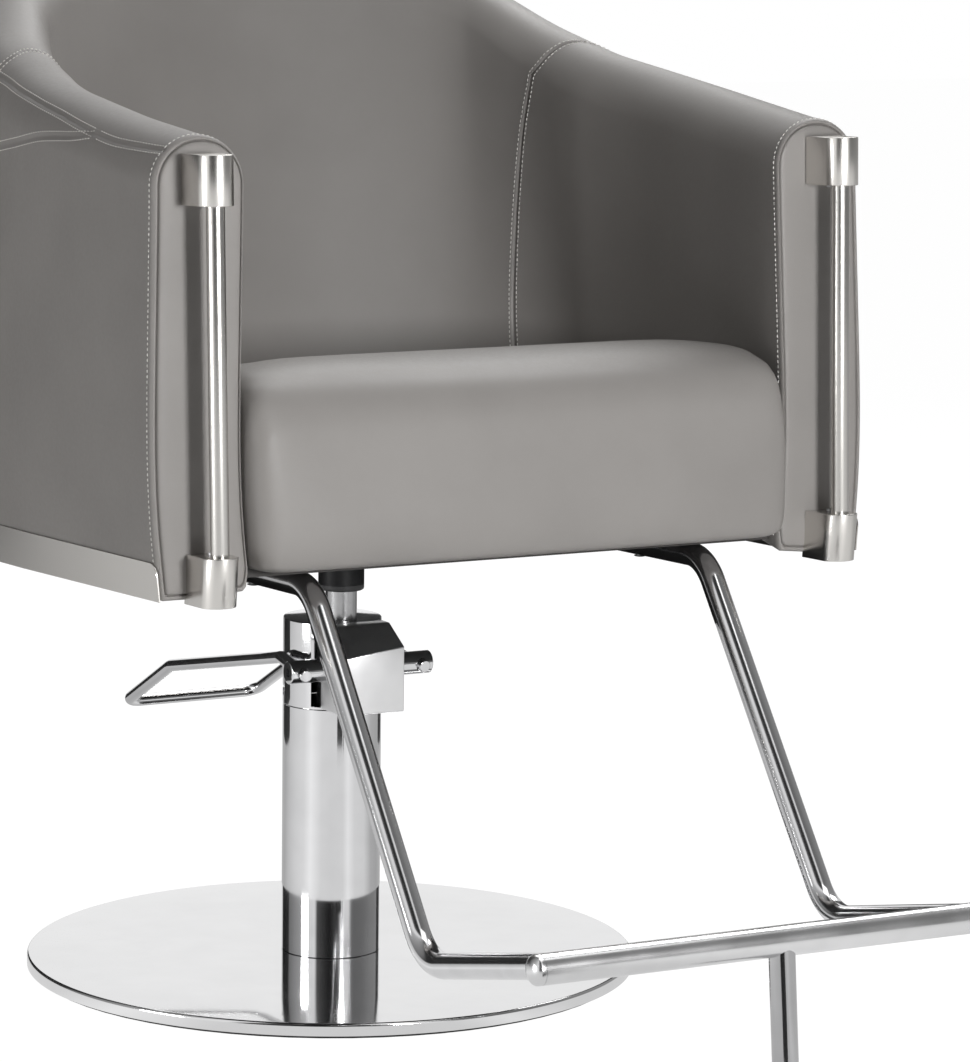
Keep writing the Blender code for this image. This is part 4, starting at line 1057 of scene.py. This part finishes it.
def swell(work):
    """Let cloth pressure round an object's mesh, with each point kept near its start."""
    mesh = work.data
    start = vertex_vectors(mesh, "co")
    normals = vertex_vectors(mesh, "normal")
    pinned = work.vertex_groups.new(name="pinned")
    low = np.nonzero(start[:, 2] < CUSHION_BOTTOM + CUSHION_PINNED)[0]
    pinned.add([int(i) for i in low], 1.0, "REPLACE")
    cloth = work.modifiers.new("cloth", "CLOTH").settings
    cloth.use_pressure = True
    cloth.uniform_pressure_force = CUSHION_PRESSURE
    cloth.effector_weights.gravity = 0.0
    cloth.vertex_group_mass = "pinned"
    cloth.tension_stiffness = CUSHION_STIFFNESS
    cloth.compression_stiffness = CUSHION_STIFFNESS
    for step in range(1, CUSHION_FRAMES + 1):
        bpy.context.scene.frame_set(step)
    shift = vertex_vectors(baked(work), "co") - start
    bpy.context.scene.frame_set(1)
    work.modifiers.clear()
    front = np.interp(-normals[:, 1], CUSHION_FRONT_FACING, (0.0, 1.0))
    above = np.interp(np.abs(normals[:, 2]), CUSHION_TOP_FACING, (0.0, 1.0))
    cap = CUSHION_SIDE_CAP + (CUSHION_CAP - CUSHION_SIDE_CAP) * np.maximum(front, above)
    reach = np.linalg.norm(shift, axis=1)
    shift *= np.minimum(1.0, cap / np.maximum(reach, 1e-9))[:, None]
    shift = spread_out(mesh, shift, CUSHION_EVENING)
    mesh.vertices.foreach_set("co", (start + shift).astype(np.float32).ravel())
    relax(mesh, 2)


def swollen_cushion():
    """The cushion, remeshed, swollen and made finer."""
    work = link("cushion_work", cushion_mesh())
    remesh = work.modifiers.new("remesh", "REMESH")
    remesh.mode = "VOXEL"
    remesh.voxel_size = CUSHION_VOXEL
    mesh = baked(work)
    work.modifiers.clear()
    work.data = mesh
    relax(mesh, 3)
    swell(work)
    work.modifiers.new("finer", "SUBSURF").levels = 1
    result = baked(work)
    bpy.data.objects.remove(work, do_unlink=True)
    result.shade_smooth()
    return result


# Metal pieces
def band_mesh():
    """The trim band, with rounded upper corners at its two front ends."""
    start = BAND_FRONT_INSET / ARM_FRONT * ARM_SHARE
    corner = BAND_CORNER / ARM_FRONT * ARM_SHARE
    ramp = [start + corner * (1.0 - math.cos(QUARTER * i / 10)) for i in range(10)]
    half = np.array(ramp + list(np.linspace(start + corner, 1.0, 90)))
    v = np.concatenate([half, 2.0 - half[-2::-1]])
    u = folded(v)
    short = np.clip(1.0 - (u - start) / corner, 0.0, 1.0)
    top = BAND_HEIGHT - BAND_CORNER * (1.0 - np.sqrt(1.0 - short ** 2))
    inner = tub_thick(u) / 2.0 + BAND_GAP * (1.0 + np.sin(tub_angle(u)))
    outer = inner + BAND_THICK
    edge = BAND_THICK * 0.3
    loop = [(outer, edge), (outer, top * 0.35), (outer, top * 0.7), (outer, top - edge), (outer - edge, top),
            (inner, top), (inner, top * 0.5), (inner, 0.0), (outer - edge, 0.0)]
    columns = [tub_place(v, out, z + np.zeros_like(v)) for out, z in loop]
    return swept([[Vector(column[i]) for column in columns] for i in range(len(v))])


def prism_mesh(outline, low, high, edge):
    """A round-edged upright prism on a convex outline."""
    centre = sum((Vector(point) for point in outline), Vector((0.0, 0.0))) / len(outline)
    levels = [(edge * (1 - s), low + edge * (1 - c)) for s, c in quarter(4)]
    levels += [(edge * (1 - c), high - edge * (1 - s)) for s, c in quarter(4)]
    rings = []
    for inset, z in levels:
        spokes = [Vector(point) - centre for point in outline]
        rings.append([Vector((*(centre + away * (1.0 - inset / away.length)), z)) for away in spokes])
    return swept(rings)


def cap_outline(side):
    """A post cap from above: round in front about the post, flat-sided back to the facing."""
    turns = [math.pi + math.pi * i / 28 for i in range(29)]
    back = -(ARM_FRONT + FACING_CROWN) - FIT_GAP
    outline = [(CAP_RADIUS * math.cos(t), -POST_FORWARD + CAP_RADIUS * math.sin(t)) for t in turns]
    outline += [(CAP_RADIUS, back - CAP_CORNER), (CAP_RADIUS - CAP_CORNER, back)]
    outline += [(CAP_CORNER - CAP_RADIUS, back), (-CAP_RADIUS, back - CAP_CORNER)]
    return [(side * POST_SPREAD + x, y) for x, y in outline]


def build_posts():
    for word, side in SIDES:
        for level, bottom in (("lower", 0.0), ("upper", TOP_CAP_BOTTOM)):
            mesh = prism_mesh(cap_outline(side), bottom, bottom + CAP_HEIGHT, CAP_EDGE)
            if level == "lower":
                for vertex in mesh.vertices:
                    vertex.co.y += CAP_FOOT_BACK * (1.0 - vertex.co.z / CAP_HEIGHT)
            name = f"{word}_{level}"
            add_seat_piece(f"{name}_cap_brushed", mesh, CAP_STEEL_PAINTED_LIGHT, "stainless", f"{name}_post_cap")
        low = Vector((side * POST_SPREAD, -POST_FORWARD, CAP_HEIGHT - POST_SOCKET))
        high = Vector((side * POST_SPREAD, -POST_FORWARD, TOP_CAP_BOTTOM + POST_SOCKET))
        mesh = soft_bar(low, high, POST_RADIUS, POST_EDGE, 48)
        add_seat_piece(f"{word}_rod_brushed", mesh, STAINLESS, "stainless", f"{word}_post_rod")


def build_base():
    shoulder = [(BASE_RADIUS - BASE_EDGE * (1.0 - s), BASE_HEIGHT - BASE_EDGE * (1.0 - c))
                for s, c in quarter(8)]
    inner = COLUMN_RADIUS - BASE_HOLE_INSET
    lip, under = BASE_RADIUS - BASE_SHEET, BASE_HEIGHT - BASE_SHEET
    top = [(radius, BASE_HEIGHT) for radius in (inner, *BASE_RINGS)]
    profile = top + shoulder + [(BASE_RADIUS, BASE_FOOT), (lip, BASE_FOOT), (lip, under), (inner, under)]
    add_piece("base_disc_polished", turned(profile, 192), POLISHED, "base", ["base_cover"])
    wall, rim = COLUMN_RADIUS - COLUMN_WALL, COLUMN_RADIUS - COLUMN_EDGE
    foot = BASE_HEIGHT + FIT_GAP
    top = HEAD_SEAM_HEIGHT
    tube = [(rim, foot), (COLUMN_RADIUS, foot + COLUMN_EDGE), (COLUMN_RADIUS, top - COLUMN_EDGE), (rim, top),
            (wall, top), (wall, foot)]
    add_piece("column_polished", turned(tube, 128), CHROME, "base", ["column_tube"])


def build_head():
    wall, rim = COLUMN_RADIUS - COLUMN_WALL, COLUMN_RADIUS - COLUMN_EDGE
    foot = HEAD_SEAM_HEIGHT + FIT_GAP
    under = HEAD_TOP_HEIGHT - HEAD_THICK
    outside = rounded([(HEAD_INNER_RING, HEAD_TOP_HEIGHT), (COLUMN_RADIUS, HEAD_TOP_HEIGHT),
                       (COLUMN_RADIUS, foot + COLUMN_EDGE), (rim, foot)], HEAD_ROUND)
    profile = [(0.0, HEAD_TOP_HEIGHT), *outside, (wall, foot), (wall, under), (0.0, under)]
    cutout = BLOCK_HALF_WIDTH + CUTOUT_MARGIN
    beside = BLOCK_HALF_WIDTH + FIT_GAP
    ends = [(0.0, -PISTON_FORWARD, z) for z in (under - CUT_PAST, HEAD_TOP_HEIGHT + CUT_PAST)]
    back, above = -PISTON_FORWARD - CYLINDER_RADIUS, HEAD_TOP_HEIGHT + 2.0 * CUT_PAST
    mesh = carve(turned(profile, 128), [
        bar_mesh(*ends, ROD_RADIUS + ROD_HOLE_GAP, 64),
        box_mesh((-cutout, -BLOCK_FRONT, BLOCK_BOTTOM_HEIGHT - FIT_GAP), (cutout, -CUTOUT_DEPTH, under)),
        box_mesh((-beside, -BLOCK_FRONT, under - FIT_GAP), (beside, back, above))])
    add_piece("pump_head_polished", mesh, CHROME, "base", ["pump_head_cover"])


def build_block():
    back = -PISTON_FORWARD - CYLINDER_RADIUS - FIT_GAP
    outline = [(-BLOCK_FRONT, BLOCK_BOTTOM_HEIGHT), (-BLOCK_FRONT, BLOCK_SLOPE_HEIGHT),
               (-BLOCK_TOP_FRONT, HEAD_TOP_HEIGHT), (back, HEAD_TOP_HEIGHT), (back, BLOCK_BOTTOM_HEIGHT)]
    rings = [[Vector((x, y, z)) for y, z in outline] for x in (-BLOCK_HALF_WIDTH, BLOCK_HALF_WIDTH)]
    for ring, shift in zip(rings, BLOCK_SLOPE_SHIFTS):
        ring[1].z += shift
    mesh = swept(rings)
    edit(mesh, lambda shape: bmesh.ops.bevel(
        shape, geom=shape.edges[:], offset=BLOCK_EDGE, segments=3, profile=0.5, affect="EDGES",
        clamp_overlap=True))
    ends = [(x, -SHAFT_FORWARD, SHAFT_HEIGHT) for x in (-SHAFT_CUT_HALF_LENGTH, SHAFT_CUT_HALF_LENGTH)]
    mesh = carve(mesh, [bar_mesh(*ends, SHAFT_RADIUS + FIT_GAP, 64)])
    add_piece("pump_block_polished", mesh, SOFT_CHROME, "base", ["pump_block"])


def lever_corners(side):
    """The hole in the shaft, then the corners of one side of the lever."""
    hole, *corners = (Vector((side * x, y, z)) for x, y, z in LEVER_CORNERS)
    end = hole - (corners[0] - hole).normalized() * (SHAFT_RADIUS + LEVER_END_PROUD)
    return hole, [end, *corners]


def build_lever():
    (_, right), (_, left) = sides = [lever_corners(side) for _, side in SIDES]
    path = bent_path(right + left[::-1], LEVER_BEND_RADII + LEVER_BEND_RADII[::-1], 14)
    bar = swept(tube_rings(*soft_end(path, LEVER_RADIUS, LEVER_EDGE), 28))
    cutters = []
    for hole, (end, kink, *_) in sides:
        reach = (kink - end).normalized() * LEVER_CUT_HALF_LENGTH
        outside = (math.copysign(SET_SCREW_CUT_END, hole.x), 0.0, 0.0)
        cutters.append(bar_mesh(hole - reach, hole + reach, LEVER_RADIUS + FIT_GAP, 28))
        cutters.append(bar_mesh(hole, outside, SET_SCREW_RADIUS + FIT_GAP, 24))
    half = Vector((SHAFT_HALF_LENGTH, 0.0, 0.0))
    shaft = carve(soft_bar(-half, half, SHAFT_RADIUS, SHAFT_EDGE, 56), cutters)
    for name, mesh, node in (
            ("lever_polished", bar, "pump_lever"), ("lever_shaft_polished", shaft, "lever_shaft")):
        mesh.transform(Matrix.Translation((0.0, -SHAFT_FORWARD, SHAFT_HEIGHT)))
        add_piece(name, mesh, CHROME, "lever", [node])


def build_lift():
    low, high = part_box("piston_rod")
    rod = [(0.0, low[2]), (ROD_RADIUS, low[2]), (ROD_RADIUS, high[2]), (0.0, high[2])]
    inner = ROD_RADIUS + FIT_GAP
    foot = COLLAR_BOTTOM_HEIGHT
    outside = rounded([(inner + COLLAR_BORE_EDGE, foot), (COLLAR_RADIUS, foot), (COLLAR_RADIUS, high[2])],
                      COLLAR_EDGE)
    collar = [(inner, high[2]), (inner, foot), *outside]
    for name, profile, material, slot, node in (
            ("piston_rod_polished", rod, ROD_STEEL, "chrome", "piston_rod"),
            ("swivel_collar_black", collar, BLACK, "black_steel", "swivel_collar")):
        mesh = turned(profile, 64)
        mesh.transform(Matrix.Translation((0.0, -PISTON_FORWARD, 0.0)))
        add_piece(name, mesh, material, "seat", [node])


# Footrest
BAR_CENTRE = Vector((0.0, -CROSSBAR_FORWARD, -CROSSBAR_DROP))
SIDEWAYS = Vector((1.0, 0.0, 0.0))


def saddle(ring, along):
    """Move a tube's end ring along the tube to the crossbar's surface."""
    moved = []
    for point in ring:
        gap = point - BAR_CENTRE
        a = along.y ** 2 + along.z ** 2
        b = 2.0 * (gap.y * along.y + gap.z * along.z)
        c = gap.y ** 2 + gap.z ** 2 - CROSSBAR_RADIUS ** 2
        root = math.sqrt(max(0.0, b * b - 4.0 * a * c))
        moved.append(point + along * ((-b - root) / (2.0 * a)))
    return moved


def build_footrest_tubes():
    for word, side in SIDES:
        x = side * FOOT_TUBE_SPREAD
        corners = [Vector((x, y, z)) for y, z in FOOT_TUBE_CORNERS] + [BAR_CENTRE + SIDEWAYS * x]
        path = bent_path(corners, (FOOT_BEND_RADIUS, FOOT_BEND_RADIUS), 24)
        along = (path[-1] - path[-2]).normalized()
        path[-1] = path[-1] - along * (CROSSBAR_RADIUS * 2.0)
        rings = tube_rings(path, [FOOT_TUBE_RADIUS] * len(path), 40)
        mesh = swept(rings + [saddle(rings[-1], along)])
        add_seat_piece(f"footrest_tube_{word}_polished", mesh, SATIN, "chrome", f"footrest_tube_{word}")


def build_crossbar():
    reach = CROSSBAR_HALF_LENGTH - END_CAP_LENGTH
    path = [BAR_CENTRE + SIDEWAYS * x for x in np.linspace(-reach, reach, 9)]
    mesh = swept(tube_rings(path, [CROSSBAR_RADIUS] * len(path), 48))
    add_seat_piece("footrest_bar_polished", mesh, BAR_CHROME, "chrome", "footrest_crossbar")
    height = END_CAP_LENGTH - END_CAP_STRAIGHT
    dome = [(CROSSBAR_RADIUS * c, END_CAP_STRAIGHT + height * s) for s, c in quarter(12, END_CAP_SHARE)]
    profile = [(0.0, 0.0), (CROSSBAR_RADIUS, 0.0), *dome, (0.0, END_CAP_LENGTH)]
    for word, side in SIDES:
        mesh = turned(profile, 48)
        mesh.transform(Matrix.Rotation(side * QUARTER, 4, "Y"))
        mesh.transform(Matrix.Translation(BAR_CENTRE + SIDEWAYS * side * (reach + FIT_GAP)))
        add_seat_piece(f"crossbar_end_{word}_polished", mesh, BAR_CHROME, "chrome", f"crossbar_end_{word}")


def build_leg():
    down = Vector((0.0, -math.sin(LEG_LEAN), -math.cos(LEG_LEAN)))
    end = BAR_CENTRE + down * LEG_LENGTH
    path = [end, end.lerp(BAR_CENTRE, 0.5), BAR_CENTRE + down * LEG_PAST]
    rings = tube_rings(*soft_end(path, LEG_RADIUS, LEG_EDGE), 40)[:-END_STEPS - 1]
    mesh = swept(rings + [saddle(rings[-1], -down)])
    add_seat_piece("footrest_leg_polished", mesh, LEG_CHROME_PAINTED_SHADE, "chrome", "footrest_leg")
    start = end + down * FIT_GAP
    mesh = soft_bar(start, start + down * LEG_TIP_LENGTH, LEG_TIP_RADIUS, LEG_TIP_EDGE, 40)
    add_seat_piece("leg_tip_rubber", mesh, RUBBER, "rubber", "leg_tip")


def build_bolts():
    """Footrest bolts with low domed heads under the tubes."""
    under = FOOT_RUN_HEIGHT - FOOT_TUBE_RADIUS
    top = FOOT_RUN_HEIGHT + FOOT_TUBE_RADIUS + FOOT_BOLT_BITE
    dome = [(FOOT_BOLT_HEAD * s, under - FOOT_BOLT_PROUD * c) for s, c in quarter(7)[1:]]
    shank = [(FOOT_BOLT_RADIUS, under), (FOOT_BOLT_RADIUS, top), (0.0, top)]
    for word, side in SIDES:
        for i, forward in enumerate(FOOT_BOLT_FORWARD):
            node = f"footrest_bolt_{word}_{i + 1}"
            mesh = turned([(0.0, under - FOOT_BOLT_PROUD), *dome, *shank], 32)
            mesh.transform(Matrix.Translation((side * FOOT_TUBE_SPREAD, -forward, 0.0)))
            add_seat_piece(f"{node}_steel", mesh, STEEL, "steel", node)


def build_upholstery():
    for word, side in SIDES:
        add_seat_piece(f"{word}_arm_cover", arm_cover(side), LEATHER, "leather", f"{word}_arm")
        add_seat_piece(f"{word}_arm_stitching", stitch_mesh(arm_rows(side)), THREAD, "leather")
    add_seat_piece("back_cover", back_cover(), LEATHER, "leather", "backrest")
    add_seat_piece("back_stitching", stitch_mesh(tub_rows()), THREAD, "leather")
    add_seat_piece("seat_cushion_cover", swollen_cushion(), LEATHER, "leather", "seat_cushion")


def dress_frame():
    """Procedural finishes for the CAD nodes that stay in view."""
    finishes = {
        "steel": STEEL, "black_steel": BLACK, "rubber": RUBBER, "plywood": BOARD_PAINTED_SHADE, "polymer": POLYMER,
        "chrome": CHROME, "stainless": STAINLESS, "leather": LEATHER}
    for part in frame["record"]["subparts"]:
        node = frame["nodes"][part["node"]]
        node.data.materials.clear()
        node.data.materials.append(finishes[part["material_slot"]])


# Studio
def bearing_ramp(tree, coordinates, bearings):
    """Brightness by the compass bearing of a place."""
    place = add_node(tree, "TexCoord").outputs[coordinates]
    axes = add_node(tree, "SeparateXYZ", {"Vector": place}).outputs
    bearing = add_node(tree, "Math", {0: axes["X"], 1: axes["Y"]})
    bearing.operation = "ARCTAN2"
    turn = add_node(tree, "MapRange", {
        "From Min": -math.pi, "From Max": math.pi, "Value": bearing.outputs["Value"]})
    node = add_node(tree, "ValToRGB", {"Fac": turn.outputs["Result"]})
    ramp = node.color_ramp
    while len(ramp.elements) < len(bearings):
        ramp.elements.new(0.5)
    for element, (degrees, level) in zip(ramp.elements, bearings):
        element.position = (degrees + 180.0) / 360.0
        element.color = (level, level, level, 1.0)
    return node.outputs["Color"]


def mix_shaders(tree, factor, first, second):
    return add_node(tree, "MixShader", {"Fac": factor, 1: first, 2: second}).outputs["Shader"]


def background(tree, strength, colour=WHITE):
    return add_node(tree, "Background", {"Color": colour, "Strength": strength}).outputs["Background"]


def build_world():
    """White to the camera; a dim room with light strips to reflections; soft to the rest."""
    world = bpy.data.worlds.new("studio")
    world.use_nodes = True
    bpy.context.scene.world = world
    tree = world.node_tree
    tree.nodes.clear()
    rays = add_node(tree, "LightPath").outputs
    room = background(tree, 1.0, bearing_ramp(tree, "Generated", ROOM_BEARINGS))
    white = background(tree, 1.0)
    mirrored = mix_shaders(tree, rays["Is Glossy Ray"], background(tree, AMBIENT), room)
    through = mix_shaders(tree, rays["Is Transmission Ray"], mirrored, white)
    seen = mix_shaders(tree, rays["Is Camera Ray"], through, white)
    add_node(tree, "OutputWorld", {"Surface": seen})


def build_floor():
    """A pale floor that reads as white and keeps a trace of the shadow; to reflections it shows painted
    light and shade by bearing.
    """
    material = bpy.data.materials.new("pale_floor")
    material.use_nodes = True
    tree = material.node_tree
    tree.nodes.clear()
    rays = add_node(tree, "LightPath").outputs
    matte = add_node(tree, "BsdfDiffuse", {"Color": FLOOR_TONE}).outputs["BSDF"]
    # Painted light and shade on the floor by bearing, seen only in reflections
    glow = bearing_ramp(tree, "Object", FLOOR_BEARINGS)
    mirrored = add_node(tree, "Emission", {"Color": glow}).outputs["Emission"]
    white = add_node(tree, "Emission", {"Strength": FLOOR_WHITE}).outputs["Emission"]
    share = add_node(tree, "Math", {0: rays["Is Camera Ray"], 1: FLOOR_GLOW})
    share.operation = "MULTIPLY"
    glossy = mix_shaders(tree, rays["Is Glossy Ray"], matte, mirrored)
    seen = mix_shaders(tree, share.outputs["Value"], glossy, white)
    add_node(tree, "OutputMaterial", {"Surface": seen})
    corners = [(-1, -1), (1, -1), (1, 1), (-1, 1)]
    mesh = raw_mesh([(x * FLOOR_SIZE, y * FLOOR_SIZE, 0.0) for x, y in corners], [(0, 1, 2, 3)])
    mesh.materials.append(material)
    floor = link("floor", mesh)


def build_lights():
    """Soft square lamps, each aimed at a point."""
    for name, place, target, size, power in LAMPS:
        lamp = bpy.data.lights.new(name, "AREA")
        lamp.shape = "SQUARE"
        lamp.size = size
        lamp.energy = power
        obj = link(name, lamp)
        obj.location = place
        obj.rotation_euler = (Vector(target) - Vector(place)).to_track_quat("-Z", "Y").to_euler()


def build_camera():
    yaw, pitch, roll = CAMERA_YAW, CAMERA_PITCH, CAMERA_ROLL
    back = Vector((math.sin(yaw) * math.cos(pitch), -math.cos(yaw) * math.cos(pitch), math.sin(pitch)))
    right = Vector((math.cos(yaw), math.sin(yaw), 0.0))
    up = back.cross(right)
    turned_right = right * math.cos(roll) + up * math.sin(roll)
    turned_up = up * math.cos(roll) - right * math.sin(roll)
    data = bpy.data.cameras.new("photo_camera")
    data.sensor_width = SENSOR
    data.lens = FOCAL_PIXELS / max(PHOTO_WIDTH, PHOTO_HEIGHT) * SENSOR
    camera = link("photo_camera", data)
    rotation = Matrix((turned_right, turned_up, back)).transposed().to_4x4()
    camera.matrix_world = Matrix.Translation(CAMERA_PLACE) @ rotation
    bpy.context.scene.camera = camera


def add_card(name, points, level):
    """A dark card that nothing but reflections can see."""
    mesh = raw_mesh(points, [tuple(range(len(points)))])
    mesh.materials.append(new_material(name, (level, level, level), CARD_ROUGHNESS)[0])
    card = link(name, mesh)
    card.visible_camera = False
    card.visible_diffuse = False
    card.visible_shadow = False
    card.visible_transmission = False


def build_cards():
    """Upright cards that draw dark edges on polished metal, and a level one below the seat that puts painted
    shade into reflections.
    """
    for i, (bearing, distance, width, height, level) in enumerate(DARK_CARDS):
        turn = math.radians(bearing)
        away = Vector((math.sin(turn), math.cos(turn), 0.0))
        across = Vector((away.y, -away.x, 0.0)) * (width / 2.0)
        low = [away * distance - across, away * distance + across]
        high = [point + Vector((0.0, 0.0, height)) for point in reversed(low)]
        add_card(f"dark_card_{i + 1}", low + high, level)
    v = np.linspace(0.0, 2.0, UNDERSIDE_CARD_POINTS)
    outline = tub_place(v, 0.0, np.full_like(v, UNDERSIDE_CARD_HEIGHT))
    add_card("underside_card", [(x, y, UNDERSIDE_CARD_HEIGHT) for x, y, _ in outline], UNDERSIDE_CARD_LEVEL)


build_camera()
dress_frame()
build_base()
build_head()
build_block()
build_lever()
build_lift()
build_footrest_tubes()
build_crossbar()
build_leg()
build_bolts()
build_posts()
add_seat_piece("trim_band_brushed", band_mesh(), BAND_STEEL_PAINTED_LIGHT, "stainless", "trim_band")
build_upholstery()
build_world()
build_floor()
build_cards()
build_lights()
bpy.context.scene.view_settings.view_transform = "Standard"
